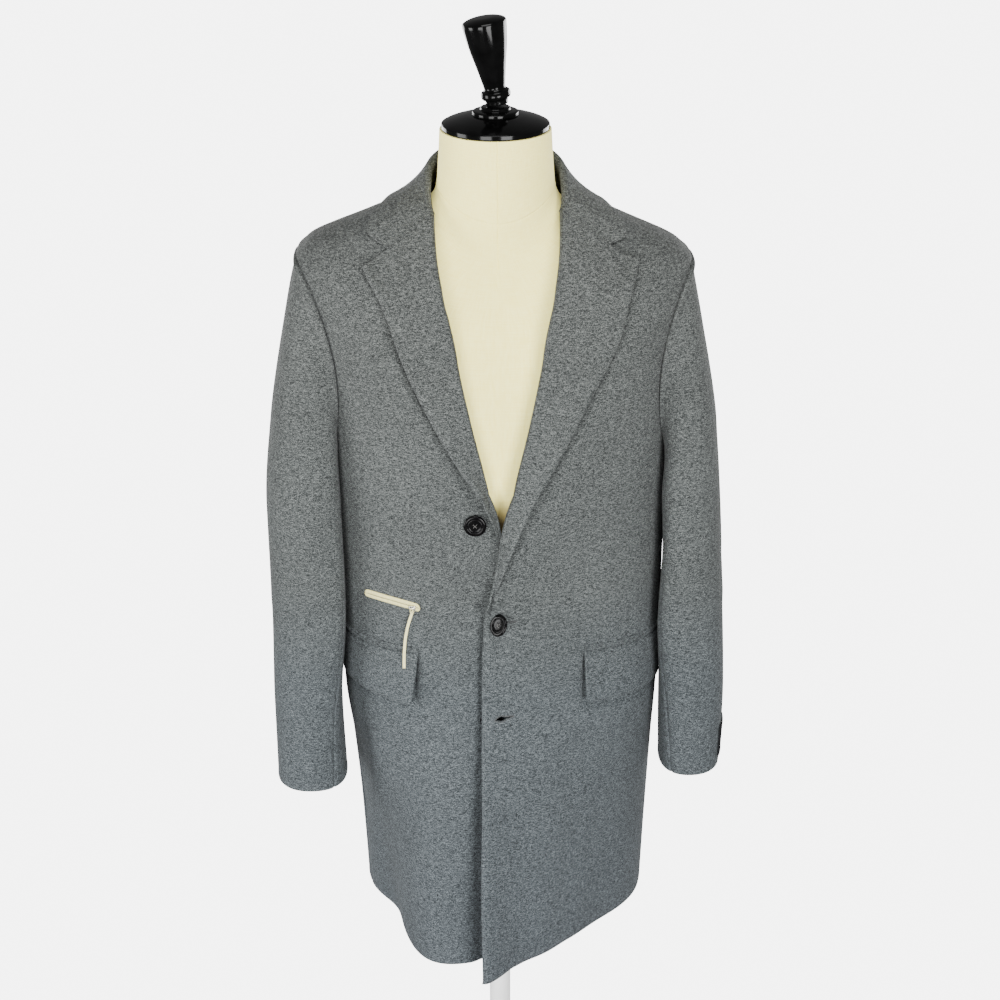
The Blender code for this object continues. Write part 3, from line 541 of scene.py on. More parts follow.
def spread(tree, value, low, high):
    """Stretch a value from low..high to 0..1."""
    made = add_node(tree, "ShaderNodeMapRange")
    tree.links.new(value, made.inputs["Value"])
    made.inputs["From Min"].default_value = low
    made.inputs["From Max"].default_value = high
    return made.outputs["Result"]


print("value helpers ready: stretched, noise, blend and spread")

# %% Shared effects
FLECKS, ends, out = new_group("melange_flecks", [
    ("Vector", "NodeSocketVector", None), ("Per Metre", "NodeSocketFloat", 520.0),
    ("Flatten", "NodeSocketFloat", 1.7)], ["Fleck", "Nap"])
wide = ends.outputs["Per Metre"]
tall = math_node(FLECKS, "MULTIPLY", wide, ends.outputs["Flatten"])
lying = stretched(FLECKS, ends.outputs["Vector"], wide, wide, tall)
even = stretched(FLECKS, ends.outputs["Vector"], tall, tall, tall)
grains = blend(FLECKS, noise(FLECKS, lying, 1.0, 1.0), noise(FLECKS, even, 2.1, 1.0), 0.28)
FLECKS.links.new(spread(FLECKS, grains, 0.395, 0.605), out.inputs["Fleck"])
FLECKS.links.new(spread(FLECKS, noise(FLECKS, lying, 1.6, 3.0), 0.2, 0.8), out.inputs["Nap"])

WEAVE, ends, out = new_group("plain_weave", [
    ("Vector", "NodeSocketVector", None), ("Threads Per Metre", "NodeSocketFloat", 1400.0)],
    ["Height", "Slub"])
pitch = math_node(WEAVE, "MULTIPLY", ends.outputs["Threads Per Metre"], math.pi)
parts = add_node(WEAVE, "ShaderNodeSeparateXYZ")
WEAVE.links.new(stretched(WEAVE, ends.outputs["Vector"], pitch, pitch, 0.0), parts.inputs[0])
waves = [math_node(WEAVE, "SINE", parts.outputs[axis], 0.0) for axis in (0, 1)]
crossing = math_node(WEAVE, "MULTIPLY", *waves)
WEAVE.links.new(spread(WEAVE, crossing, -1.0, 1.0), out.inputs["Height"])
upright, level = (noise(WEAVE, stretched(WEAVE, ends.outputs["Vector"], *along, 1.0), 1.0)
                  for along in ((900.0, 60.0), (60.0, 900.0)))
slub = blend(WEAVE, upright, level, 0.5)
WEAVE.links.new(spread(WEAVE, slub, 0.36, 0.64), out.inputs["Slub"])

MOTTLE, ends, out = new_group("soft_mottle", [
    ("Vector", "NodeSocketVector", None), ("Per Metre", "NodeSocketFloat", 8.0)],
    ["Shade", "Grain"])
even = stretched(MOTTLE, ends.outputs["Vector"], *[ends.outputs["Per Metre"]] * 3)
MOTTLE.links.new(spread(MOTTLE, noise(MOTTLE, even, 1.0, 3.0), 0.3, 0.7), out.inputs["Shade"])
MOTTLE.links.new(spread(MOTTLE, noise(MOTTLE, even, 90.0, 2.0), 0.3, 0.7), out.inputs["Grain"])
print("shader groups:", FLECKS.name, WEAVE.name, MOTTLE.name)


# %% Material helper
class Finish:
    """One material: its tree, its Principled shader and the sockets of its coordinates."""

    def __init__(self, name, roughness, metallic=0.0, **sockets):
        self.material = bpy.data.materials.new(name)
        self.material.use_nodes = True
        self.tree = self.material.node_tree
        self.shader = self.tree.nodes["Principled BSDF"]
        self.shader.inputs["Roughness"].default_value = roughness
        self.shader.inputs["Metallic"].default_value = metallic
        for label, value in sockets.items():
            self.shader.inputs[label.replace("_", " ")].default_value = value
        place = add_node(self.tree, "ShaderNodeTexCoord")
        self.object, self.flat = place.outputs["Object"], place.outputs["UV"]

    def effect(self, group, vector, **values):
        made = add_node(self.tree, "ShaderNodeGroup", node_tree=group)
        self.tree.links.new(vector, made.inputs["Vector"])
        for label, value in values.items():
            made.inputs[label.replace("_", " ")].default_value = value
        return made.outputs

    def ramp(self, value, *stops):
        """Colour by a mask: pairs of place and linear colour."""
        made = add_node(self.tree, "ShaderNodeValToRGB")
        band = made.color_ramp
        while len(band.elements) < len(stops):
            band.elements.new(0.5)
        for element, (place, colour) in zip(band.elements, stops):
            element.position = place
            element.color = (*colour, 1.0)
        self.tree.links.new(value, made.inputs["Fac"])
        return made.outputs["Color"]

    def between(self, mask, low, high):
        """A mask stretched to low..high."""
        made = add_node(self.tree, "ShaderNodeMapRange")
        self.tree.links.new(mask, made.inputs["Value"])
        made.inputs["To Min"].default_value = low
        made.inputs["To Max"].default_value = high
        return made.outputs["Result"]

    def times(self, colour, factor):
        """A colour times another colour or a value."""
        mix = add_node(self.tree, "ShaderNodeMix", data_type="RGBA", blend_type="MULTIPLY")
        mix.inputs["Factor"].default_value = 1.0
        self.tree.links.new(colour, mix.inputs["A"])
        self.tree.links.new(factor, mix.inputs["B"])
        return mix.outputs["Result"]

    def shaded(self, colour, mask, low, high):
        return self.times(colour, self.between(mask, low, high))

    def height(self, low, high):
        """How far up a place is between two heights, from 0 to 1."""
        split = add_node(self.tree, "ShaderNodeSeparateXYZ")
        self.tree.links.new(self.object, split.inputs[0])
        return spread(self.tree, split.outputs["Z"], low, high)

    def colour(self, socket):
        self.tree.links.new(socket, self.shader.inputs["Base Color"])

    def roughness(self, mask, low, high):
        self.tree.links.new(self.between(mask, low, high), self.shader.inputs["Roughness"])

    def bump(self, height, strength, distance):
        made = add_node(self.tree, "ShaderNodeBump")
        made.inputs["Strength"].default_value = strength
        made.inputs["Distance"].default_value = distance
        self.tree.links.new(height, made.inputs["Height"])
        self.tree.links.new(made.outputs["Normal"], self.shader.inputs["Normal"])


print("finish helper:", [word for word in vars(Finish) if word[0] != "_"])

# %% [markdown]
# ### Wool
#
# The cloth is a milled coating: dark and pale fibres spun together, with a short nap that hides
# the weave. Up close it reads as a fine grey pepper whose grains lie flat along the weft. Flecks
# on object coordinates keep one scale on every piece, and a weak sheen gives the nap's pale rim.
# A second ramp goes by height and paints light into the colour: the skirt a little cooler, as in
# cool light, and the shoulders a little warmer, as in warm light. The colours are darker than real
# wool, because the lights are set for the cream form and the view transform draws pale tones
# together.

# %% Wool
wool = Finish("grey_wool", 0.94, Sheen_Weight=0.03, Sheen_Roughness=0.55, Specular_IOR_Level=0.12)
flecks = wool.effect(FLECKS, wool.object, Per_Metre=260.0, Flatten=3.0)
cloudy = wool.effect(MOTTLE, wool.object, Per_Metre=11.0)
pepper = wool.ramp(flecks["Fleck"],
                   (0.02, (0.0068, 0.0077, 0.0078)), (0.34, (0.0245, 0.0274, 0.0274)),
                   (0.64, (0.050, 0.0554, 0.0550)), (0.98, (0.126, 0.1372, 0.1342)))
# Painted light: the skirt is tinted as if in cool light and the shoulders as if in warm light.
painted_light_by_height = wool.ramp(wool.height(0.55, 1.45),
                 (0.0, (0.93, 0.98, 1.09)), (0.42, (0.95, 0.99, 1.06)),
                 (0.56, (1.0, 1.0, 1.0)), (1.0, (1.03, 1.0, 0.965)))
wool.colour(wool.times(wool.shaded(pepper, cloudy["Shade"], 0.94, 1.06), painted_light_by_height))
wool.roughness(flecks["Nap"], 0.88, 0.98)
wool.bump(flecks["Nap"], 0.45, 0.0007)
WOOL = wool.material
print("finish", WOOL.name)

# %% [markdown]
# ### Hard trims, canvas and lacquer
#
# The buttons are polished black horn look-alikes with a faint smoky grain. The form is covered in
# cream canvas, so its weave follows the UV map in metres. Below the open front, where the coat
# covers it, the canvas colour is painted darker: a painted shade that sinks the foot of the V into
# shadow. Its cap and finial are lacquered wood: a clear coat over black, with a trace of dust in
# the roughness. Finishes of one kind differ only in a few values, so one function makes each kind:
# hard, spun and woven. The woven ones carry painted shade in the hollows between their threads.


# %% Kinds of finish
def mottled(name, rough, per_metre, dark, pale, drift=None, metallic=0.0, pitted=None, **sockets):
    """Hard finish whose colour, and if asked its roughness and surface, drift a little."""
    made = Finish(name, rough, metallic, **sockets)
    soft = made.effect(MOTTLE, made.object, Per_Metre=per_metre)
    made.colour(made.ramp(soft["Shade"], (0.1, dark), (0.9, pale)))
    if drift:
        made.roughness(soft["Grain"], *drift)
    if pitted:
        made.bump(soft["Grain"], *pitted)
    return made


def spun(name, rough, dark, pale):
    """Twisted sewing thread."""
    made = Finish(name, rough, Sheen_Weight=0.2)
    twist = made.effect(FLECKS, made.object, Per_Metre=2400.0, Flatten=1.0)
    made.colour(made.ramp(twist["Fleck"], (0.1, dark), (0.9, pale)))
    made.bump(twist["Nap"], 0.4, 0.0002)
    return made


def woven(name, rough, sheen, threads, dark, pale, hollow):
    """Narrow woven ware: thick and thin threads, with painted shade that darkens the hollows
    between them by a share.
    """
    made = Finish(name, rough, Sheen_Weight=sheen)
    rib = made.effect(WEAVE, made.flat, Threads_Per_Metre=threads)
    slubs = made.ramp(rib["Slub"], (0.0, dark), (1.0, pale))
    # Painted shade: the colour darkens in the hollows of the weave.
    made.colour(made.shaded(slubs, rib["Height"], hollow, 1.06))
    made.bump(rib["Height"], 0.5, 0.0003)
    return made


print("kinds of finish:", [kind.__name__ for kind in (mottled, spun, woven)])

# %% Buttons, threads, zip and patch
button = mottled("black_button", 0.16, 160.0, (0.0010, 0.0010, 0.0012), (0.0032, 0.0031, 0.0032),
                 drift=(0.12, 0.20), Specular_IOR_Level=0.10)
thread = spun("dark_thread", 0.70, (0.012, 0.013, 0.014), (0.055, 0.058, 0.060))
pale_thread = spun("pale_thread", 0.65, (0.030, 0.029, 0.027), (0.080, 0.077, 0.072))
tape = woven("pale_zip_tape", 0.80, 0.15, 1500.0, (0.50, 0.46, 0.19), (0.68, 0.63, 0.29), 0.88)
# Painted shade: the teeth are coloured dark so that the zip's middle shows as a dark line of
# shadow.
teeth = mottled("zip_teeth_dark_as_shade", 0.42, 300.0, (0.018, 0.016, 0.011), (0.040, 0.036, 0.026))
metal = mottled("slider_metal", 0.32, 420.0, (0.50, 0.48, 0.42), (0.72, 0.70, 0.63),
                drift=(0.26, 0.42), metallic=1.0)
ribbon = woven("pale_pull", 0.78, 0.2, 1700.0, (0.60, 0.56, 0.26), (0.80, 0.75, 0.40), 0.86)

patch = Finish("dark_patch", 0.95, Specular_IOR_Level=0.02)
rib = patch.effect(WEAVE, patch.flat, Threads_Per_Metre=1300.0)
# Painted shade: the patch is darker in the hollows of its weave.
patch.colour(patch.ramp(rib["Height"], (0.0, (0.004, 0.004, 0.005)), (1.0, (0.018, 0.018, 0.020))))
patch.bump(rib["Height"], 0.6, 0.0003)
trims = (button, thread, pale_thread, tape, teeth, metal, ribbon, patch)
print("trim finishes:", [finish.material.name for finish in trims])

# %% Canvas, lacquer and steel
canvas = Finish("cream_canvas", 0.88, Sheen_Weight=0.12, Specular_IOR_Level=0.25)
rib = canvas.effect(WEAVE, canvas.flat, Threads_Per_Metre=900.0)
handled = canvas.effect(MOTTLE, canvas.object, Per_Metre=9.0)
thready = canvas.ramp(rib["Slub"], (0.0, (0.91, 0.80, 0.235)), (1.0, (0.98, 0.90, 0.335)))
# Painted shade: the canvas colour darkens below the open front, standing in for the shadow at the
# foot of the V.
painted_v_shade = canvas.ramp(canvas.height(1.138, 1.172), (0.0, (0.14, 0.115, 0.13)),
                      (0.45, (0.48, 0.43, 0.46)), (1.0, (1.0, 1.0, 1.0)))
canvas.colour(canvas.times(canvas.shaded(thready, handled["Shade"], 0.95, 1.03), painted_v_shade))
canvas.bump(rib["Height"], 0.25, 0.0003)
lacquer = mottled("black_lacquer", 0.12, 60.0, (0.0010, 0.0010, 0.0010), (0.0022, 0.0022, 0.0022),
                  drift=(0.08, 0.16), Coat_Weight=0.05, Coat_Roughness=0.05,
                  Specular_IOR_Level=0.09)
steel = mottled("pale_steel", 0.42, 30.0, (0.86, 0.86, 0.85), (0.92, 0.92, 0.91),
                drift=(0.36, 0.50), metallic=0.25, pitted=(0.12, 0.0003))
print("form finishes:", [finish.material.name for finish in (canvas, lacquer, steel)])

# %% [markdown]
# ## Fronts and back
#
# Each front runs from its free edge to the side seam, the armhole and the shoulder seam. Below
# the break the free edge hangs straight, and above it the cloth turns back along the roll of the
# lapel. The left front lies over the right one, so it stands off the body by the thickness of
# what it covers, and its loose front corner swings forward at the hem. Rows crowd together at the
# top and bottom of the armhole, where that line turns fastest.

# %% Edge tables
RIGHT_EXTENSION, LEFT_BREAK, RIGHT_BREAK = 0.022, 1.036, 1.104
Edge = namedtuple("Edge", "z x lift")
LEFT_EDGE = (
    Edge(0.556, -0.025, 0.0140), Edge(0.695, -0.026, 0.0140), Edge(0.807, -0.026, 0.0132),
    Edge(0.900, -0.0245, 0.0122), Edge(0.960, -0.0235, 0.0112), Edge(1.022, -0.0213, 0.0108),
    Edge(1.043, -0.0180, 0.0114), Edge(1.060, -0.0138, 0.0122), Edge(1.080, -0.0100, 0.0127),
    Edge(1.130, 0.0, 0.0105), Edge(1.180, 0.0120, 0.0060),
)
Roll = namedtuple("Roll", "z x")
ROLL = (
    Roll(1.030, -0.0212), Roll(1.043, -0.0185), Roll(1.057, -0.0150), Roll(1.0875, -0.0085),
    Roll(1.110, -0.0045), Roll(1.126, -0.0018), Roll(1.153, 0.0032), Roll(1.185, 0.0140),
    Roll(1.275, 0.0340), Roll(1.355, 0.0500), Roll(1.418, 0.0630), Roll(1.460, 0.0690),
    Roll(1.495, 0.0705),
)
# How far above its break a front starts to turn back, and within what height it has turned.
LEFT_TURN, RIGHT_TURN = (0.022, 0.030), (-0.008, 0.014)
ARMHOLE_ROWS, ARMHOLE_ROUND = (6.0, 8.2), 2.6
FRONT_SCOOP, BACK_SCOOP, SHOULDER_SEAM = (26.0, 38.0), (28.0, 30.0), 104.0


print("edge rows:", len(LEFT_EDGE), "and roll rows:", len(ROLL))


# %% Lines of the edges and armholes
def edge_angle(rows, side):
    """Angle of a front's free edge by row: straight below the break, along the roll above it."""
    stop, (above, within) = (LEFT_BREAK, LEFT_TURN) if side > 0 else (RIGHT_BREAK, RIGHT_TURN)
    angle = np.zeros(len(rows))
    for _ in range(30):
        z = ring(BODY, angle, rows)[..., 2]
        roll = table(ROLL, "z", "x", z) + FACING + 0.002
        free = table(LEFT_EDGE, "z", "x", z) if side > 0 else -RIGHT_EXTENSION
        turned_back = soft_step((z - stop - above) / within)
        angle = angle_at(side * (free + (roll - free) * turned_back), rows)
    return angle


def overlap_lift(angle, z):
    """How far the left front stands off the body where it lies over the right front."""
    return table(LEFT_EDGE, "z", "lift", z) * soft_step(1.0 - np.asarray(angle) / 26.0)


def side_angle(row):
    low, high = ARMHOLE_ROWS
    return 90.0 + (SHOULDER_SEAM - 90.0) * np.clip((row - low) / (high - low), 0.0, 1.0) ** 2


def armhole_row(turn):
    low, high = ARMHOLE_ROWS
    upward = power(np.cos(np.radians(turn)), 2.0 / ARMHOLE_ROUND)
    return (low + high) / 2.0 + (high - low) / 2.0 * upward


def armhole_cut(row, scoop):
    low, high = ARMHOLE_ROWS
    share = np.clip((row - low) / (high - low), 0.0, 1.0)
    inside = np.maximum(1.0 - np.abs(2.0 * share - 1.0) ** ARMHOLE_ROUND, 0.0)
    return (scoop[0] + (scoop[1] - scoop[0]) * share) * inside ** (1.0 / ARMHOLE_ROUND)


def calm_cut(row, scoop):
    """The armhole's cut without its quick turns, for the lines of the cloth away from the seam."""
    return 0.8 * scoop[1] * soft_step((row - 5.0) / 1.8) * soft_step((9.4 - row) / 1.9)


print("side seam at the hem, degrees:", side_angle(np.array([0.0])))

# %% Rows of the body pieces
ROW_FINE = np.linspace(0.0, NECK, 1101)
ROW_LENGTH = arc(body(40.0, ROW_FINE)[None], 1)[0]


def rows_between(low, high, step, fine=(False, False)):
    start, stop = np.interp([low, high], ROW_FINE, ROW_LENGTH)
    lengths = start + places(stop - start, step, fine) * (stop - start)
    return np.interp(lengths, ROW_LENGTH, ROW_FINE)


BODY_ROWS = np.concatenate([
    rows_between(HEM, ARMHOLE_ROWS[0], 0.0045, (True, False)),
    armhole_row(np.array([172.0, *np.arange(166.0, 13.0, -4.0), 8.0, 0.0])),
    rows_between(ARMHOLE_ROWS[1], NECK, 0.0040, (False, True))[1:],
])
print("rows from hem to neck:", len(BODY_ROWS))

# %% [markdown]
# Cloth never hangs dead smooth. The creases are few and soft on a heavy milled wool, and each is
# listed: a ridge or trough along a short line on the front or back, wide and shallow, that fades
# out at both ends. The strongest are the drag from the fastened button and the long ridge that
# runs down the skirt near the wearer's right side. The narrow, deeper troughs beside the lapels'
# edges, round the flaps and under the left front's edge let the cloth dip below the piece that lies
# over it, so that a real line of shadow falls there.

# %% Creases
Crease = namedtuple("Crease", "x0 z0 x1 z1 width height")


def creases(*rows):
    return tuple(Crease(*row) for row in rows)


DRAGS = creases(
    (0.020, 1.026, 0.120, 1.040, 0.010, 0.0012), (0.022, 1.012, 0.105, 0.998, 0.012, -0.0012),
    (-0.045, 1.050, -0.085, 1.120, 0.018, 0.0010), (-0.150, 0.860, -0.160, 0.600, 0.011, 0.0034),
    (-0.172, 0.880, -0.176, 0.640, 0.010, -0.0022), (0.060, 0.880, 0.050, 0.600, 0.030, 0.0020),
    (0.115, 0.900, 0.120, 0.620, 0.026, -0.0016), (-0.085, 0.900, -0.095, 0.640, 0.026, -0.0018),
    (-0.165, 1.300, -0.120, 1.200, 0.020, -0.0014), (0.165, 1.300, 0.125, 1.190, 0.020, -0.0014),
    (-0.150, 1.120, -0.175, 1.040, 0.016, 0.0010), (0.150, 1.130, 0.178, 1.050, 0.016, 0.0010),
)
BESIDE_LAPELS = creases(
    (0.0175, 1.130, 0.1445, 1.383, 0.0085, -0.0056),
    (-0.0060, 1.130, -0.0510, 1.222, 0.0075, -0.0038),
    (-0.0520, 1.224, -0.1275, 1.383, 0.0075, -0.0038),
)
ROUND_FLAPS = creases(
    (0.1010, 0.974, 0.1010, 0.908, 0.0042, -0.0062),
    (-0.1015, 0.974, -0.1060, 0.908, 0.0042, -0.0062),
    (0.1000, 0.9775, 0.188, 0.9655, 0.0042, -0.0044),
    (-0.1000, 0.9775, -0.188, 0.9740, 0.0042, -0.0044),
    (0.095, 0.9105, 0.190, 0.8965, 0.0055, -0.0034),
    (-0.095, 0.9115, -0.190, 0.9120, 0.0055, -0.0038),
)
UNDER_EDGE = creases(
    (-0.0205, 1.030, -0.0235, 0.800, 0.0090, -0.0060),
    (-0.0235, 0.800, -0.0245, 0.520, 0.0100, -0.0066),
)
BACK_CREASES = creases(
    (-0.060, 1.430, -0.030, 1.300, 0.026, 0.0016), (0.070, 1.420, 0.036, 1.290, 0.024, 0.0014),
    (-0.130, 1.180, -0.060, 1.120, 0.020, -0.0018), (0.140, 1.190, 0.070, 1.125, 0.022, -0.0018),
    (-0.110, 1.030, 0.020, 1.015, 0.018, 0.0014), (0.030, 1.060, 0.130, 1.050, 0.018, -0.0012),
    (0.075, 0.900, 0.090, 0.600, 0.024, 0.0024), (-0.080, 0.880, -0.100, 0.610, 0.026, -0.0020),
)
FRONT_CREASES = DRAGS + BESIDE_LAPELS + ROUND_FLAPS


def crease_height(points, lines):
    """Height of the creases at each point, by its distance from their lines seen from the front."""
    total = np.zeros(points.shape[:-1])
    for crease in lines:
        start = np.array([crease.x0, crease.z0])
        line = np.array([crease.x1, crease.z1]) - start
        offset = points[..., [0, 2]] - start
        share = offset @ line / (line @ line)
        gap = np.abs(offset[..., 0] * line[1] - offset[..., 1] * line[0]) / np.linalg.norm(line)
        fade = soft_step(share / 0.35 + 0.4) * soft_step((1.0 - share) / 0.35 + 0.4)
        total = total + crease.height * np.exp(-(gap / crease.width) ** 2) * fade
    return total


print("creases on the fronts:", len(FRONT_CREASES), "and on the back:", len(BACK_CREASES))

# %% Front panels
MILLIMETRE = 0.001


def panel(angle, rows, lift=0.0, corner=False):
    """Points of a body panel and their normals."""
    points = body(angle, rows, lift, corner)
    return points, (body(angle, rows, lift + MILLIMETRE, corner) - points) / MILLIMETRE


def front_grid(side):
    inner = edge_angle(BODY_ROWS, side)[:, None]
    outer = side * (side_angle(BODY_ROWS) - armhole_cut(BODY_ROWS, FRONT_SCOOP))[:, None]
    calm = side * (side_angle(BODY_ROWS) - calm_cut(BODY_ROWS, FRONT_SCOOP))[:, None]
    share = places(0.30, 0.0036)
    angle = inner + (calm - inner) * share + (outer - calm) * share ** 7
    near_neck = np.clip(BODY_ROWS - 10.0, 0.0, 1.0)[:, None]
    rows = BODY_ROWS[:, None] - 0.24 * np.clip((84.0 - np.abs(angle)) / 20.0, 0.0, 1.0) * near_neck
    lift = overlap_lift(angle, ring(BODY, angle, rows)[..., 2]) if side > 0 else 0.0
    return panel(angle, rows, lift, corner=side > 0)


right_points, right_normals = front_grid(-1.0)
left_points, left_normals = front_grid(1.0)
right_relief = crease_height(right_points, FRONT_CREASES + UNDER_EDGE)
left_relief = crease_height(left_points, FRONT_CREASES)
print("front grids", right_points.shape, left_points.shape)

# %% [markdown]
# ### Buttonholes
#
# A coat buttonhole is a slit with a round eye at the edge side, whipped all round with purl
# stitches. The slit is cut through the left front with a Boolean, so light really falls into it.
# The stitches are a Geometry Nodes row: one small stitch, repeated along the slit's outline and
# turned across it.


# %% Places on the front, and cutting
def front_frame(x, z, lift, corner=False, turn=0.0, pitch=0.0):
    """Placement on the front, local Z out of the cloth, turned about the upright and tipped up."""
    point, base, outer = (front([x], [z], a, corner)[0] for a in (lift, 0.0, 0.01))
    outward = (Matrix.Rotation(math.radians(turn), 3, "Z") @ Vector(outer - base)).normalized()
    tip = math.radians(pitch)
    outward = outward * math.cos(tip) + Vector((0.0, 0.0, math.sin(tip)))
    outward.normalize()
    level = Vector((0.0, 0.0, 1.0)).cross(outward).normalized()
    axes = Matrix((level, outward.cross(level), outward)).transposed().to_4x4()
    return Matrix.Translation(Vector(point)) @ axes


def placed(place, points):
    """Points carried from a placement's own axes into the scene."""
    return np.array([tuple(place @ Vector(point)) for point in points])


def at_height(flat, z):
    """Flat points with one height."""
    return np.column_stack([flat, np.full(len(flat), z)])


def carved(mesh, cutters):
    """A mesh with the shapes of other meshes cut out of it."""
    block = put_in_scene("block", mesh)
    tools = [put_in_scene("cutter", shape) for shape in cutters]
    for tool in tools:
        cut = block.modifiers.new("cut", "BOOLEAN")
        cut.operation = "DIFFERENCE"
        cut.solver = "EXACT"
        cut.object = tool
    finished = evaluated_mesh(block, *tools)
    finished.name = mesh.name
    return finished


print("a place on the chest:", front_frame(-0.1, 1.25, 0.0).translation[:])

# %% Cut the slits
Hole = namedtuple("Hole", "x z long open slant")
BUTTONHOLES = (Hole(0.0055, 1.0295, 0.023, 0.0014, 4.0), Hole(0.0018, 0.9045, 0.0215, 0.0070, 13.0))
SLIT_FOOT, SLIT_HEAD = -0.006, 0.004


def hole_place(hole):
    lift = float(table(LEFT_EDGE, "z", "lift", hole.z)) + CLOTH / 2.0
    return front_frame(hole.x, hole.z, lift, True) @ turn_about("Z", hole.slant)


def hole_outline(hole, margin, count=48):
    """Outline of a slit: a round eye at the edge side and a long narrow tail."""
    swing = full_turn(count)
    x = (hole.long / 2.0 + margin) * np.cos(swing)
    eye = 0.22 + 0.78 * np.exp(-((x / hole.long + 0.20) / 0.24) ** 2)
    y = (hole.open / 2.0 * eye + margin) * np.sin(swing)
    return np.stack([x, y], axis=-1)


def slit_mesh(hole):
    flat = hole_outline(hole, 0.0)
    deep = np.concatenate([at_height(flat, SLIT_FOOT), at_height(flat, SLIT_HEAD)])
    mesh = new_mesh("slit", deep, tube_faces(2, len(flat)))
    mesh.shade_flat()
    mesh.transform(hole_place(hole))
    return mesh


def cut_slits(mesh):
    """The left front's shell with both slits cut through it."""
    return carved(mesh, [slit_mesh(hole) for hole in BUTTONHOLES])


print("slits:", [hole.long for hole in BUTTONHOLES])


# %% [markdown]
# ### A row along a path
#
# Purl stitches and zip teeth are the same idea: one small bar set across a path at an even pitch.
# The tree below resamples a curve, turns a rounded bar so that it lies across the path and flat
# on the cloth, scales it by named inputs and makes it real geometry with its material.

# %% Geometry Nodes: bars across a path
BARS = bpy.data.node_groups.new("bars_across_path", "GeometryNodeTree")
for label, way, kind in (
        ("Geometry", "INPUT", "Geometry"), ("Pitch", "INPUT", "Float"),
        ("Bar Size", "INPUT", "Vector"), ("Outward", "INPUT", "Vector"),
        ("Uneven", "INPUT", "Float"), ("Finish", "INPUT", "Material"),
        ("Geometry", "OUTPUT", "Geometry")):
    BARS.interface.new_socket(label, in_out=way, socket_type="NodeSocket" + kind)
ends, out = add_node(BARS, "NodeGroupInput"), add_node(BARS, "NodeGroupOutput")
resample = add_node(BARS, "GeometryNodeResampleCurve", mode="LENGTH")
tangent = add_node(BARS, "GeometryNodeInputTangent")
along_path = add_node(BARS, "FunctionNodeAlignRotationToVector", axis="Y")
off_cloth = add_node(BARS, "FunctionNodeAlignRotationToVector", axis="Z", pivot_axis="Y")
bar = add_node(BARS, "GeometryNodeMeshUVSphere")
for label, value in (("Segments", 8), ("Rings", 6), ("Radius", 0.5)):
    bar.inputs[label].default_value = value
smooth = add_node(BARS, "GeometryNodeSetShadeSmooth")
uneven = add_node(BARS, "FunctionNodeRandomValue", data_type="FLOAT")
uneven.inputs["Seed"].default_value = 7
grow = add_node(BARS, "ShaderNodeVectorMath", operation="SCALE")
one_less = add_node(BARS, "ShaderNodeMath", operation="SUBTRACT")
one_less.inputs[0].default_value = 1.0
instance = add_node(BARS, "GeometryNodeInstanceOnPoints")
real = add_node(BARS, "GeometryNodeRealizeInstances")
painted = add_node(BARS, "GeometryNodeSetMaterial")
smallest, largest = [s for s in uneven.inputs if s.type == "VALUE" and s.name in ("Min", "Max")][:2]
largest.default_value = 1.0
BARS.links.new(one_less.outputs[0], smallest)
BARS.links.new([s for s in uneven.outputs if s.type == "VALUE"][0], grow.inputs["Scale"])
for source, given, target, taken in (
        (ends, "Geometry", resample, "Curve"), (ends, "Pitch", resample, "Length"),
        (tangent, "Tangent", along_path, "Vector"), (along_path, "Rotation", off_cloth, "Rotation"),
        (ends, "Outward", off_cloth, "Vector"), (bar, "Mesh", smooth, "Geometry"),
        (ends, "Uneven", one_less, 1), (ends, "Bar Size", grow, 0),
        (resample, "Curve", instance, "Points"), (smooth, "Geometry", instance, "Instance"),
        (off_cloth, "Rotation", instance, "Rotation"), (grow, "Vector", instance, "Scale"),
        (instance, "Instances", real, "Geometry"), (real, "Geometry", painted, "Geometry"),
        (ends, "Finish", painted, "Material"), (painted, "Geometry", out, "Geometry")):
    BARS.links.new(source.outputs[given], target.inputs[taken])
print("row tree", BARS.name, "with", len(BARS.nodes), "nodes")


# %% Stitch round the buttonholes
def bars(name, path, closed, pitch, size, outward, finish, uneven_by=0.0):
    """Plain mesh of bars across a path of points."""
    line = bpy.data.curves.new(name, "CURVE")
    line.dimensions = "3D"
    spline = line.splines.new("POLY")
    spline.points.add(len(path) - 1)
    for point, place in zip(spline.points, path):
        point.co = (*place, 1.0)
    spline.use_cyclic_u = closed
    thing = put_in_scene(name, line)
    row = thing.modifiers.new("bars", "NODES")
    row.node_group = BARS
    values = {"Pitch": pitch, "Bar Size": size, "Outward": outward, "Uneven": uneven_by,
              "Finish": finish}
    for socket in BARS.interface.items_tree:
        if socket.in_out == "INPUT" and socket.name in values:
            row[socket.identifier] = values[socket.name]
    mesh = evaluated_mesh(thing)
    bpy.data.curves.remove(line)
    mesh.name = name
    return mesh


STITCH_PITCH, STITCH_SIZE, STITCH_UNEVEN = 0.00062, (0.0019, 0.00058, 0.00075), 0.18
STITCH_MARGIN, STITCH_HEIGHT = 0.0010, 0.0001
stitch_pieces = []
for word, hole in zip(("middle", "lower"), BUTTONHOLES):
    place = hole_place(hole)
    path = placed(place, at_height(hole_outline(hole, STITCH_MARGIN, 96), STITCH_HEIGHT))
    outward = tuple((place.to_3x3() @ Vector((0.0, 0.0, 1.0))).normalized())
    name = word + "_buttonhole_stitches"
    mesh = bars(name, path, True, STITCH_PITCH, STITCH_SIZE, outward, thread.material,
                STITCH_UNEVEN)
    stitch_pieces.append(add_piece(name, mesh, thread.material, "grey_wool"))
    print(name, "faces", len(mesh.polygons))

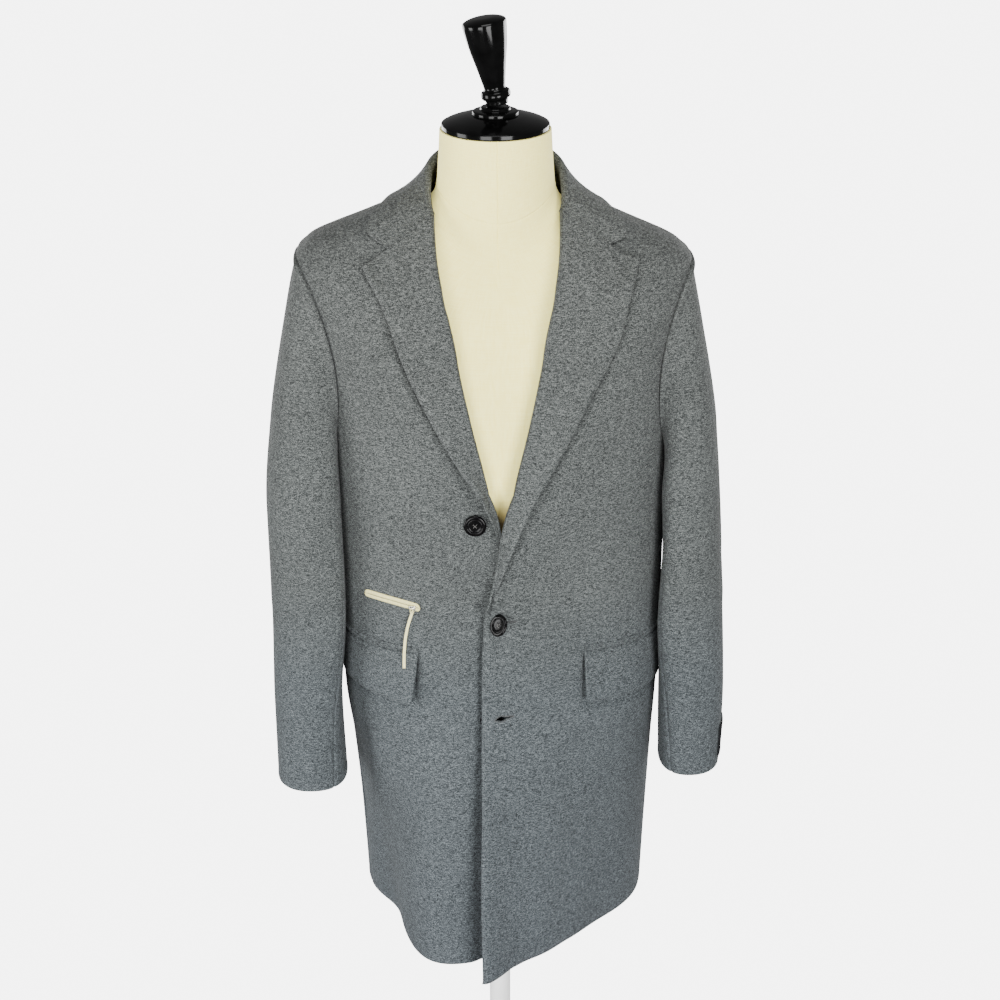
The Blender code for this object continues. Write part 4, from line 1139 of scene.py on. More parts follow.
# %% Make the fronts
SIDE_GROOVE, EDGE_DIP = 0.0019, 0.0028
add_cloth("right_front", right_points, CLOTH, ["form_torso"], rolled=("start", "foot"),
          sewn=("end",), facing=-1.0, relief=right_relief, normals=right_normals,
          groove=SIDE_GROOVE)
add_cloth("left_front", left_points, CLOTH, ["form_torso", "right_front_cloth"],
          rolled=("start", "foot"), sewn=("end",), relief=left_relief, normals=left_normals,
          groove=SIDE_GROOVE, dip=EDGE_DIP, with_pieces=stitch_pieces, trim=cut_slits)

# %% [markdown]
# ### Back
#
# The back is one wide piece from side seam to side seam. It is out of sight here, so it is
# finished plainly: a centre seam, a few soft drags below the collar and at the waist, and the
# skirt's folds.


# %% Make the back
BACK_WIDE = 0.60


def back_grid():
    share = places(BACK_WIDE, 0.0060)
    seam = np.array([-0.0042, -0.0028, -0.0016, -0.0008, 0.0, 0.0008, 0.0016, 0.0028, 0.0042]) + 0.5
    share = np.sort(np.concatenate([share[np.abs(share - 0.5) > 0.0060], seam]))
    start = (side_angle(BODY_ROWS) + armhole_cut(BODY_ROWS, BACK_SCOOP))[:, None]
    calm = (side_angle(BODY_ROWS) + calm_cut(BODY_ROWS, BACK_SCOOP))[:, None]
    from_seam = np.abs(2.0 * share - 1.0) ** 14 * np.sign(0.5 - share)
    angle = calm + (360.0 - 2.0 * calm) * share + (start - calm) * from_seam
    return *panel(angle, BODY_ROWS[:, None]), share


back_points, back_normals, back_share = back_grid()
centre_groove = -0.0008 * np.exp(-((back_share - 0.5) * BACK_WIDE / 0.0012) ** 2)
back_relief = crease_height(back_points, BACK_CREASES) + centre_groove[None, :]
add_cloth("back", back_points, CLOTH, ["form_torso"], rolled=("foot", "head"),
          sewn=("start", "end"), relief=back_relief, normals=back_normals)

# %% [markdown]
# ## Sleeves
#
# Each sleeve is a two-piece tailored sleeve: a wide upper and a narrow under piece, joined along
# two seams. It is drawn as a tube whose ring starts on the armhole and lets go of it within a
# hand's width to hang straight. Sinking the first row into the armhole and swelling the head just
# below it gives the small step of a set-in sleeve. At the front the ring reaches in over the side
# of the body, by the table's last column, and a low rise below the armhole rounds it there.

# %% Sleeve tables and surface
SleeveRow = namedtuple(
    "SleeveRow", "outer_z inner_z outer_x inner_x middle_y half_depth hang reach")
RIGHT_SLEEVE = (
    SleeveRow(1.428, 1.196, 0.228, 0.200, -0.004, 0.070, 0.00, 0.000),
    SleeveRow(1.402, 1.190, 0.238, 0.202, -0.004, 0.074, 0.40, 0.030),
    SleeveRow(1.338, 1.172, 0.250, 0.204, -0.010, 0.077, 0.80, 0.042),
    SleeveRow(1.250, 1.140, 0.264, 0.2015, -0.020, 0.077, 1.00, 0.046),
    SleeveRow(1.140, 1.085, 0.274, 0.1978, -0.034, 0.072, 1.00, 0.045),
    SleeveRow(1.010, 0.995, 0.274, 0.1950, -0.042, 0.065, 1.00, 0.038),
    SleeveRow(0.880, 0.880, 0.277, 0.196, -0.050, 0.057, 1.00, 0.015),
    SleeveRow(0.776, 0.776, 0.277, 0.193, -0.060, 0.048, 1.00, 0.003),
)
LEFT_SLEEVE = (
    SleeveRow(1.428, 1.196, 0.223, 0.203, -0.004, 0.070, 0.00, 0.000),
    SleeveRow(1.402, 1.190, 0.228, 0.205, -0.004, 0.074, 0.40, 0.020),
    SleeveRow(1.338, 1.172, 0.240, 0.206, -0.010, 0.077, 0.80, 0.028),
    SleeveRow(1.250, 1.140, 0.254, 0.2025, -0.020, 0.076, 1.00, 0.034),
    SleeveRow(1.140, 1.085, 0.263, 0.2035, -0.034, 0.071, 1.00, 0.035),
    SleeveRow(1.010, 0.995, 0.2705, 0.2004, -0.042, 0.064, 1.00, 0.038),
    SleeveRow(0.880, 0.880, 0.2760, 0.199, -0.050, 0.056, 1.00, 0.018),
    SleeveRow(0.788, 0.788, 0.2725, 0.200, -0.060, 0.048, 1.00, 0.004),
)
SLEEVE_SEAMS = (126.0, 252.0)


def armhole(turn, side, sink):
    """Armhole line: turn 0 at the shoulder tip, 90 in front, 180 at the underarm, 270 behind."""
    turn = np.asarray(turn, float) % 360.0
    row = armhole_row(turn)
    cut = np.where(turn < 180.0, -armhole_cut(row, FRONT_SCOOP), armhole_cut(row, BACK_SCOOP))
    return body(side * (side_angle(row) + cut), row, -sink)


def sleeve(rows, turn, side, place):
    """Points of a sleeve's middle surface at fractional places down its table."""
    turn, place = np.broadcast_arrays(np.asarray(turn, float), np.asarray(place, float))
    at = {name: curve([getattr(r, name) for r in rows], place) for name in SleeveRow._fields}
    cosine = power(np.cos(np.radians(turn)), 0.9)
    sine = power(np.sin(np.radians(turn)), 0.9)
    mid_x = (at["outer_x"] + at["inner_x"]) / 2.0
    mid_z = (at["outer_z"] + at["inner_z"]) / 2.0
    turned_in = np.clip(np.sin(np.radians(turn)), 0.0, 1.0) ** 1.5
    turned_in = turned_in * (0.5 - 0.5 * np.cos(np.radians(turn)))
    x = side * (mid_x + (at["outer_x"] - mid_x) * cosine - at["reach"] * turned_in)
    y = at["middle_y"] - at["half_depth"] * sine
    z = mid_z + (at["outer_z"] - mid_z) * cosine
    share = at["hang"][..., None]
    return armhole(turn, side, 0.0006) * (1.0 - share) + np.stack([x, y, z], axis=-1) * share


print("sleeve rows:", len(RIGHT_SLEEVE), "right,", len(LEFT_SLEEVE), "left")

# %% Make the sleeves
SLEEVE_CREASES = creases(
    (0.205, 1.105, 0.262, 1.060, 0.013, -0.0016), (0.210, 1.060, 0.268, 1.015, 0.012, 0.0014),
    (0.206, 1.020, 0.262, 0.985, 0.012, -0.0013), (0.222, 1.330, 0.246, 1.230, 0.014, 0.0012),
    (0.216, 0.920, 0.266, 0.900, 0.016, -0.0010), (0.232, 0.870, 0.226, 0.790, 0.014, 0.0008),
)
HEAD_SWELL, FRONT_RISE, SLEEVE_GROOVE = 0.0028, 0.0032, 0.0012


def make_sleeve(word, rows, side):
    first, second = SLEEVE_SEAMS
    place = (len(rows) - 1.0) * places(0.66, 0.0046, (False, True))
    mirrored = np.array([side, 1.0, 1.0])
    swell = HEAD_SWELL * np.exp(-((place - 0.42) / 0.30) ** 2)
    rise = FRONT_RISE * (1.0 - np.exp(-(place / 0.09) ** 2)) * np.exp(-(place / 0.85) ** 2)
    for piece, start, stop, width in (("upper", second - 360.0, first, 0.26),
                                      ("under", first, second, 0.13)):
        turn = start + (stop - start) * places(width, 0.0042)
        points = sleeve(rows, turn[None, :], side, place[:, None])
        head = swell[:, None] * soft_step(np.cos(np.radians(turn)) + 0.5)
        head = head + rise[:, None] * soft_step(2.0 * np.sin(np.radians(turn)) - 0.4)
        facing_front = soft_step((0.02 - points[..., 1]) / 0.05)
        relief = head + crease_height(points * mirrored, SLEEVE_CREASES) * facing_front
        add_cloth(f"{word}_{piece}_sleeve", points, CLOTH, [f"{word}_front_cloth"],
                  rolled=("head",), sewn=("start", "end", "foot"), facing=side, relief=relief,
                  groove=SLEEVE_GROOVE)


make_sleeve("right", RIGHT_SLEEVE, -1.0)
make_sleeve("left", LEFT_SLEEVE, 1.0)

# %% [markdown]
# ## Lapels and collar
#
# A lapel is the front's own facing turned back along the roll, so its section is a small loop:
# tucked inside, round the fold and out to the edge. Drawing it as one strip that travels up the
# roll line keeps the fold soft instead of creased. The collar goes on with the same kind of
# section: from the gorge seam it rolls round the neck, standing up inside and falling outside,
# and its free corner makes the notch with the lapel's point.

# %% Lapel tables and strips
Lapel = namedtuple("Lapel", "z left right")
LAPEL_EDGE = (
    Lapel(1.030, -0.0206, -0.0150), Lapel(1.045, -0.0160, -0.0140), Lapel(1.057, -0.0112, -0.0130),
    Lapel(1.068, -0.0073, -0.0120), Lapel(1.085, -0.0012, -0.0092), Lapel(1.102, 0.0045, -0.0060),
    Lapel(1.130, 0.0150, 0.0030), Lapel(1.160, 0.0275, 0.0120), Lapel(1.225, 0.0615, 0.0490),
    Lapel(1.280, 0.0908, 0.0795), Lapel(1.325, 0.1150, 0.1010), Lapel(1.383, 0.1413, 0.1240),
    Lapel(1.4355, 0.1560, 0.1495),
)
GORGE_TOP, NOTCH_SHARE = Roll(1.4885, 0.0700), 0.65
ROLL_STEPS, RUN_STEPS = 12, 46


def turned_strips(inner_x, inner_z, outer_x, outer_z, side, turned):
    """Facing sections side by side: a tuck inside, a roll round the fold and a run outwards."""
    inner_x, inner_z, outer_x, outer_z, turned = (
        np.asarray(v, float)[:, None] for v in (inner_x, inner_z, outer_x, outer_z, turned))
    above = CLOTH / 2.0 + LAID_GAP + FACING / 2.0
    across = places(0.09, 0.09 / RUN_STEPS, (False, True))[None, 1:]
    run_x = inner_x + (outer_x - inner_x) * across
    run_z = inner_z + (outer_z - inner_z) * across
    rolled, tucked = np.minimum(turned, 1.0), np.maximum(turned - 1.0, 0.0)
    step = np.linspace(0.0, 1.0, ROLL_STEPS)
    sweep = np.radians(180.0 + 90.0 * rolled + (-90.0 - 90.0 * rolled) * step)
    narrow = np.clip((outer_x - inner_x) / 0.009, 0.0, 1.0)
    roll_x = inner_x + (above + 0.001 + above * np.cos(sweep)) * narrow
    roll_lift = above * np.sin(sweep)
    tuck_x = roll_x[:, :1] + 0.0006 * rolled + 0.010 * tucked
    tuck_lift = roll_lift[:, :1] - 0.0006 * (1.0 - rolled)
    x = side * np.concatenate([tuck_x, roll_x, run_x], axis=1)
    z = np.concatenate([np.broadcast_to(inner_z, (len(inner_z), ROLL_STEPS + 1)), run_z], axis=1)
    lift = np.concatenate([tuck_lift, roll_lift, np.full(run_x.shape, above)], axis=1)
    if side > 0:
        angle, _ = place_on_front(x, z)
        lift = lift + overlap_lift(angle, z)
    return front(x, z, lift, corner=side > 0)


def lapel_lines(side, along):
    """Roll and outer edge of a lapel from its break (0) to the gorge (1)."""
    stop = (LEFT_BREAK if side > 0 else RIGHT_BREAK) + 0.004
    inner_z = stop + (GORGE_TOP.z - stop) * along
    outer_z = stop + (LAPEL_EDGE[-1].z - stop) * along
    inner_x = table(ROLL, "z", "x", inner_z)
    outer_x = table(LAPEL_EDGE, "z", "left" if side > 0 else "right", outer_z)
    return inner_x, inner_z, np.maximum(outer_x, inner_x + (0.001 if side > 0 else 0.005)), outer_z


print("lapel edge rows:", len(LAPEL_EDGE))

# %% Make the lapels
def make_lapel(word, side, sunk):
    along = places(0.46, 0.0032)
    inner_x, inner_z, outer_x, outer_z = lapel_lines(side, along)
    turned_by = np.clip((inner_z - 1.15) / 0.04, 0.0, 2.0)
    points = turned_strips(inner_x, inner_z, outer_x, outer_z, side, turned_by)
    columns = np.linspace(0.0, 1.0, points.shape[1])[None, :]
    free = np.clip((columns - 0.2) / 0.8, 0.0, 1.0)
    low_roll = np.exp(-((along - 0.26) / 0.20) ** 2)
    open_edge = soft_step((1.0 - along) / 0.14)[:, None] + 0.8 * soft_step((free - 0.74) / 0.2)
    stand = soft_step(free) * (0.0060 + 0.0075 * low_roll)[:, None] * np.minimum(open_edge, 1.0)
    stand = stand * soft_step(along / 0.16)[:, None]
    sink = sunk * (1.0 - soft_step(along / 0.12))[:, None]
    add_cloth(f"{word}_lapel", points, FACING, [f"{word}_front_cloth"], held="folded",
              rolled=("end", "foot"), sewn=("head",), facing=side, relief=stand - sink,
              groove=0.0003, dip=0.0010)


make_lapel("right", -1.0, 0.0020)
make_lapel("left", 1.0, 0.0044)

# %% Collar
Collar = namedtuple("Collar", "angle radius z edge_row edge_angle")
COLLAR = (
    Collar(72.0, 0.0775, 1.503, 9.92, 65.5), Collar(80.0, 0.0755, 1.5095, 10.09, 76.0),
    Collar(88.0, 0.0738, 1.516, 10.28, 87.0), Collar(105.0, 0.0742, 1.527, 10.42, 105.0),
    Collar(125.0, 0.0768, 1.535, 10.46, 125.0), Collar(150.0, 0.0805, 1.540, 10.50, 150.0),
    Collar(180.0, 0.0830, 1.541, 10.50, 180.0),
)
COLLAR_BEND = 0.0042


def collar_strip(angle, side):
    """Section of the collar: stand, roll over the top fold and fall down to the free edge."""
    above = CLOTH / 2.0 + 2.4 * LAID_GAP + FACING / 2.0
    radius, fold_z, edge_row, edge_turn = (
        float(table(COLLAR, "angle", field, angle)) for field in Collar._fields[1:])
    outward = outward_at(side * angle)
    upward = np.array([0.0, 0.0, 1.0])
    turned_to, falls_to = np.array([side * angle]), np.array([side * edge_turn])
    seam = body(turned_to, [float(NECK)])[0] + upward * (CLOTH / 2.0 + 0.0012)
    centre = outward * (radius + COLLAR_BEND) + upward * (fold_z - COLLAR_BEND)
    sweep = np.radians(np.linspace(180.0, 40.0, ROLL_STEPS))[:, None]
    bend = centre + COLLAR_BEND * (outward * np.cos(sweep) + upward * np.sin(sweep))
    rest_row = edge_row + 0.62 * (NECK - edge_row)
    rest = body((turned_to + falls_to) / 2.0, [rest_row], above + 0.002)[0]
    edge = body(falls_to, [edge_row], above)[0]
    step = places(0.09, 0.09 / RUN_STEPS, (False, True))[1:, None]
    fall = bend[-1] * (1.0 - step) ** 2 + rest * 2.0 * step * (1.0 - step) + edge * step ** 2
    return np.concatenate([seam[None], bend, fall])


def collar_half(side):
    """Sections of half the collar, from the gorge seam to the centre back."""
    _, _, point_x, point_z = lapel_lines(side, np.array([1.0]))
    start_z = GORGE_TOP.z + 0.0002
    notch_z = GORGE_TOP.z + (point_z - GORGE_TOP.z) * NOTCH_SHARE + 0.0002
    notch_x = GORGE_TOP.x + (point_x - GORGE_TOP.x) * NOTCH_SHARE
    end = turned_strips([GORGE_TOP.x], [start_z], notch_x, notch_z, side, [1.0])[0]
    angles = (72.0, 73.5, 80.0, 90.0, 102.0, 116.0, 132.0, 148.0, 164.0, 180.0)
    return np.stack([end] + [collar_strip(angle, side) for angle in angles])


sections = np.concatenate([collar_half(-1.0)[:-1], collar_half(1.0)[::-1]])
collar_points = curve(sections, places(0.52, 0.0034) * (len(sections) - 1))
add_cloth("collar", collar_points, FACING, ["back_cloth", "right_lapel_cloth", "left_lapel_cloth"],
          held="folded", rolled=("end",), sewn=("foot", "head", "start"), groove=0.0003)

# %% [markdown]
# ## Pocket flaps
#
# Each flap hangs from a jetted slit: a narrow folded strip laps over the flap's tucked top, and
# the flap below it has its front corner just rounded. Both are drawn on the front's own points
# moved out, so they follow the hip. Both flaps stand off at their front edge, where the front
# dips under them, and that gap throws the dark line that shows there. The two are cut a little
# differently: the wearer's right one slants and curls more at the front, and the left one falls
# more towards the side.

# %% Make the flaps and their jets
FLAP_FRONT, FLAP_TOP, FLAP_DEEP, FLAP_CORNER = 0.098, 0.982, 0.068, 0.006
FLAP_LONG, FLAP_END, FLAP_TUCK = 0.115, 76.0, 0.0052
FlapCut = namedtuple("FlapCut", "side slant fall deepen curl")
FLAP_CUTS = {"right": FlapCut(-1.0, 0.0045, 0.004, -0.005, 0.0040),
             "left": FlapCut(1.0, 0.0, 0.013, 0.001, 0.0018)}
JET_DEEP, JET_THICK, JET_LAP = 0.0066, 0.0022, 0.0022


def hip_strip(side, start_x, z, share, lift):
    """Points of a strip that runs from a distance off the centre front round to the hip."""
    _, row = place_on_front(np.zeros(z.shape), z)
    start = angle_at(side * start_x, row[:, 0])
    angle = start[:, None] + (side * FLAP_END - start)[:, None] * share
    if side > 0:
        lift = lift + overlap_lift(angle, z)
    return body(angle, row, lift, corner=side > 0)


def flap_grid(cut):
    share = places(FLAP_LONG, 0.0030) ** 1.2
    rounding = np.clip((FLAP_CORNER - share * 0.13) / FLAP_CORNER, 0.0, 1.0)
    rounded = FLAP_CORNER * (1.0 - np.sqrt(1.0 - rounding ** 2)) * 0.9
    deep = FLAP_DEEP + cut.deepen * share - rounded
    down = places(FLAP_DEEP, 0.0026)
    z = FLAP_TOP - cut.fall * share[None, :] - deep[None, :] * down[:, None]
    stand_off = 0.0030 - 0.0015 * share ** 4 + 0.0032 * (1.0 - share) ** 1.5
    stand_off = stand_off + cut.curl * (1.0 - share) ** 7
    loose = soft_step(down * 1.1)[:, None] * stand_off[None, :]
    tucked = FLAP_TUCK * np.exp(-(down[:, None] * FLAP_DEEP / 0.0050) ** 2)
    lift = CLOTH + SEAM + loose - tucked
    return hip_strip(cut.side, FLAP_FRONT + cut.slant * down, z, share, lift)


def jet_grid(cut):
    share, up = places(FLAP_LONG, 0.0040), places(JET_DEEP, 0.0008)[:, None]
    z = FLAP_TOP - cut.fall * share[None, :] - JET_LAP + JET_DEEP * up
    lift = 0.0010 + 0.0020 * (1.0 - up) ** 0.7 * (1.0 - share[None, :] ** 6)
    return hip_strip(cut.side, FLAP_FRONT, z, share, lift)


for word, cut in FLAP_CUTS.items():
    jet_mesh = cloth_mesh(f"{word}_jet", jet_grid(cut), JET_THICK, rolled=ALL_EDGES,
                          facing=cut.side)
    jet = add_piece(f"{word}_jet", jet_mesh, WOOL, "grey_wool")
    add_cloth(f"{word}_flap", flap_grid(cut), CLOTH, [f"{word}_front_cloth"], with_pieces=[jet],
              rolled=ALL_EDGES, facing=-cut.side, dip=0.0008)

# %% [markdown]
# ## Buttons
#
# The front buttons are turned discs with a wide raised rim and a dished middle with four holes. A
# profile is spun to a disc, four cylinders are cut through it, and a pale thread crosses from
# hole to hole. The middle one is pushed through its buttonhole, so it tips towards its shank
# side.

# %% Button shape
BUTTON_WIDTH, BUTTON_THICK, MIDDLE_TILT = 0.026, 0.0042, 50.0
HOLE_PLACE, HOLE_RADIUS = 0.0022, 0.00085


def button_mesh():
    half, thick = BUTTON_WIDTH / 2.0, BUTTON_THICK
    profile = [(0.0, thick - 0.0015), (half * 0.30, thick - 0.0015), (half * 0.52, thick - 0.0013),
               (half * 0.60, thick - 0.0008), (half * 0.635, thick - 0.0009),
               (half * 0.66, thick - 0.0003), (half * 0.72, thick - 0.00005), (half * 0.82, thick),
               (half * 0.93, thick - 0.0005), (half * 0.985, thick * 0.70), (half, thick * 0.52),
               (half * 0.975, thick * 0.32), (half * 0.90, thick * 0.14), (half * 0.55, 0.0),
               (0.0, 0.0)]
    pins = bmesh.new()
    for x, y in ((1, 1), (1, -1), (-1, 1), (-1, -1)):
        place = Matrix.Translation((x * HOLE_PLACE, y * HOLE_PLACE, 0.002))
        bmesh.ops.create_cone(pins, cap_ends=True, segments=16, radius1=HOLE_RADIUS,
                              radius2=HOLE_RADIUS, depth=0.012, matrix=place)
    pin_mesh = bpy.data.meshes.new("pins")
    pins.to_mesh(pin_mesh)
    pins.free()
    mesh = carved(turned("disc", profile, 56, 4), [pin_mesh])
    mesh.set_sharp_from_angle(angle=math.radians(50.0))
    return mesh


def joined(name, meshes):
    """One smooth mesh in place of several."""
    whole = bmesh.new()
    for mesh in meshes:
        whole.from_mesh(mesh)
        bpy.data.meshes.remove(mesh)
    result = bpy.data.meshes.new(name)
    whole.to_mesh(result)
    whole.free()
    result.shade_smooth()
    return result


def thread_mesh(name, place):
    """Two threads crossing from hole to hole, bowed a little above the dish."""
    bow = np.linspace(-1.0, 1.0, 13)
    reach = HOLE_PLACE * math.sqrt(2.0) * bow
    dive = 0.0012 * np.clip(np.abs(bow) - 0.86, 0.0, 1.0) * 7.0
    threads = []
    for turn, rise in ((math.radians(45.0), 0.0006), (math.radians(-45.0), 0.0010)):
        height = BUTTON_THICK - 0.0015 + rise * (1.0 - bow ** 4) - dive
        path = np.stack([reach * math.cos(turn), reach * math.sin(turn), height], axis=-1)
        threads.append(tube(name, placed(place, path), oval(0.0007, 0.0006, 8)))
    return joined(name, threads)


print("button", BUTTON_WIDTH, "m wide,", BUTTON_THICK, "m thick")

# %% Make the buttons
on_right = CLOTH / 2.0 + SEAM
tilted = 0.94 * BUTTON_WIDTH / 2.0 * math.sin(math.radians(MIDDLE_TILT))
tilted -= 0.18 * BUTTON_THICK * math.cos(math.radians(MIDDLE_TILT))
Button = namedtuple("Button", "name x z lift corner turn pitch")
BUTTONS = (
    Button("top_button", -0.0297, 1.148, on_right, False, 0.0, 0.0),
    Button("middle_button", -0.0026, 1.0288, on_right + 0.0090 + tilted, True, -50.0, 25.0),
    Button("lower_button", -0.0135, 0.8975, on_right, False, 0.0, 0.0),
)
disc_mesh = button_mesh()
for row in BUTTONS:
    place = front_frame(row.x, row.z, row.lift, row.corner, row.turn, row.pitch)
    mesh = disc_mesh.copy()
    mesh.transform(place)
    add_piece(row.name + "_disc", mesh, button.material, "black_button", row.name)
    name = row.name + "_thread"
    add_piece(name, thread_mesh(name, place), pale_thread.material, "black_button")
print("button faces", len(disc_mesh.polygons))

# %% [markdown]
# ## Ticket pocket zip
#
# The ticket pocket closes with a pale zip: a narrow woven tape with round ends, a chain of small
# teeth down its middle, a metal slider, and a soft ribbon pull doubled through the slider's
# bridge. The tape follows the front's points, the teeth are the row of bars again, and the pull
# is a real length of ribbon that hangs down over the flap.

# %% Tape and teeth
ZIP_WIDE, ZIP_INNER, ZIP_OUTER = 0.0100, (-0.0943, 1.0390), (-0.1585, 1.0443)
TEETH_PITCH, TOOTH_SIZE = 0.00115, (0.0011, 0.00085, 0.0009)
TAPE_LIFT = CLOTH / 2.0 + SEAM


def zip_line(along):
    """Distance from the centre front and height along the zip, from side end to front end."""
    x = ZIP_OUTER[0] + (ZIP_INNER[0] - ZIP_OUTER[0]) * along
    return x, ZIP_OUTER[1] + (ZIP_INNER[1] - ZIP_OUTER[1]) * along + 0.0084 * along * (1.0 - along)


along = places(0.062, 0.0012)
across = places(ZIP_WIDE, 0.0006)[:, None] - 0.5
end = np.clip((0.06 - np.minimum(along, 1.0 - along)) / 0.06, 0.0, 0.97)
line_x, line_z = zip_line(along)
off_line = across * ZIP_WIDE * np.sqrt(1.0 - end ** 2)
tape_x = np.broadcast_to(line_x, off_line.shape)
slot = -0.0007 * np.exp(-(off_line / 0.0007) ** 2)
cord_edge = 0.0004 * np.exp(-((np.abs(across) * ZIP_WIDE - 0.0024) / 0.0013) ** 2)
tape_points = front(tape_x, line_z + off_line, TAPE_LIFT + TRIM / 2.0)
tape_mesh = cloth_mesh("zip_tape_cloth", tape_points, TRIM, rolled=ALL_EDGES,
                       relief=slot + cord_edge)
tape_piece = add_piece("zip_tape_cloth", tape_mesh, tape.material, "pale_zip_tape", "zip_tape")

chain_x, chain_z = zip_line(np.linspace(0.04, 0.97, 80))
chain = front(chain_x, chain_z, TAPE_LIFT + TRIM + 0.0001)
midway = (chain_x[40:41], chain_z[40:41])
outward = unit(front(*midway, 0.01)[0] - front(*midway, 0.0)[0])
teeth_mesh = bars("zip_teeth", chain, False, TEETH_PITCH, TOOTH_SIZE, tuple(outward),
                  teeth.material)
teeth_piece = add_piece("zip_teeth", teeth_mesh, teeth.material, "pale_zip_tape")
print("zip tape faces", len(tape_mesh.polygons), "teeth faces", len(teeth_mesh.polygons))

# %% Slider
SLIDER_LONG, SLIDER_WIDE, SLIDER_DEEP = 0.009, 0.0065, 0.0026
slider_x, slider_z = ZIP_INNER[0] - 0.0085, ZIP_INNER[1] + 0.0008
slider_place = front_frame(slider_x, slider_z, TAPE_LIFT + TRIM + SEAM + SLIDER_DEEP / 2.0)


def slider_mesh():
    """Two plates joined by a waist, wider at the front, with a bridge across the top plate."""
    shape = bmesh.new()
    bmesh.ops.create_cube(shape, size=1.0)
    bmesh.ops.subdivide_edges(shape, edges=shape.edges[:], cuts=3, use_grid_fill=True)
    for vert in shape.verts:
        x, y, z = vert.co
        taper = 0.74 + 0.26 * (x + 0.5)
        bulge = 1.0 - 0.35 * y ** 2
        waist = 1.0 - 0.16 * (1.0 - (2.0 * z) ** 2)
        vert.co = (x * SLIDER_LONG * bulge, y * SLIDER_WIDE * taper * waist, z * SLIDER_DEEP)
    plates = bpy.data.meshes.new("plates")
    shape.to_mesh(plates)
    shape.free()
    plates.transform(slider_place)
    arch = np.linspace(0.0, math.pi, 15)
    bow = np.stack([0.0032 * np.cos(arch), np.zeros(15), 0.0011 + 0.0017 * np.sin(arch)], axis=-1)
    bridge = tube("bridge", placed(slider_place, bow), oval(0.0022, 0.0008, 10))
    return joined("zip_slider_metal", [plates, bridge])


rough_slider = put_in_scene("rough_slider", slider_mesh())
soften = rough_slider.modifiers.new("soften", "SUBSURF")
soften.levels = soften.render_levels = 2
finished = evaluated_mesh(rough_slider)
add_piece("zip_slider_metal", finished, metal.material, "slider_metal", "zip_slider")
print("slider faces", len(finished.polygons))

# %% Ribbon pull
PULL_LONG, PULL_WIDE, PULL_THICK = 0.076, 0.0034, 0.0020
down = np.linspace(0.0, 1.0, 40)
hang_x = slider_x + 0.001 - 0.0118 * (1.0 - (1.0 - down) ** 2.4)
hang_z = slider_z - 0.0039 - PULL_LONG * down
path = front(hang_x, hang_z, CLOTH / 2.0 + 0.0036 - 0.0006 * down)
over_flap = 0.0042 * np.clip((FLAP_TOP + 0.012 - hang_z) / 0.014, 0.0, 1.0)
path = path + np.array([0.0, -1.0, 0.0]) * over_flap[:, None]
swing = full_turn(28)
lobes = PULL_THICK * (0.30 + 0.70 * np.abs(np.cos(swing)) ** 0.8)
section = np.stack([PULL_WIDE / 2.0 * np.cos(swing), lobes / 2.0 * np.sin(swing)], axis=-1)
pull_mesh = tube("zip_pull_ribbon", path, section)
pull_piece = add_piece("zip_pull_ribbon", pull_mesh, ribbon.material, "pale_pull", "zip_pull")

around = np.linspace(0.0, 2.0 * math.pi, 36)
loop = np.stack([0.0017 * np.sin(around), -0.0034 + 0.0036 * np.cos(around),
                 0.0021 + 0.0009 * np.cos(around)], axis=-1)
loop_mesh = tube("zip_pull_loop", placed(slider_place, loop), oval(0.0011, 0.0011, 10))
loop_piece = add_piece("zip_pull_loop", loop_mesh, ribbon.material, "pale_pull")

# %% [markdown]
# ## Cuff patch
#
# A plain black cloth patch is tacked to the outer side of the wearer's left cuff. It is drawn
# from the sleeve's own points moved out, so it bends round the cuff.

# %% Make the cuff patch
PATCH_THICK = 0.0010
turn = -20.0 + 54.0 * places(0.05, 0.0016)
place = 6.35 + 0.50 * places(0.047, 0.0016)
patch_flat = sleeve(LEFT_SLEEVE, turn[None, :], 1.0, place[:, None])
patch_points = patch_flat + grid_normals(patch_flat) * (CLOTH / 2.0 + SEAM + 0.0009)
patch_mesh = cloth_mesh("left_cuff_patch_cloth", patch_points, PATCH_THICK, rolled=ALL_EDGES)
patch_piece = add_piece("left_cuff_patch_cloth", patch_mesh, patch.material, "dark_patch",
                        "left_cuff_patch")

# %% [markdown]
# ## The form
#
# The form is a padded bust covered in canvas pieces. Its seams show in the open front: one down
# the centre and one round the base of the neck. They are shallow grooves in the surface itself,
# so they catch the light from any side. A shallow hollow at the foot of the V deepens the shadow
# there. The cap and the leaning finial are turned wood, drawn as profiles and spun, and the pole
# and base below are plain.

# %% Make the torso
QUARTERS, NECK_SEAM, SEAM_DEEP = (0.0, 90.0, 180.0, 270.0), 9.02, 0.0007
Hollow = namedtuple("Hollow", "deep z high wide")
HOLLOW = Hollow(0.014, 1.110, 0.036, 0.040)


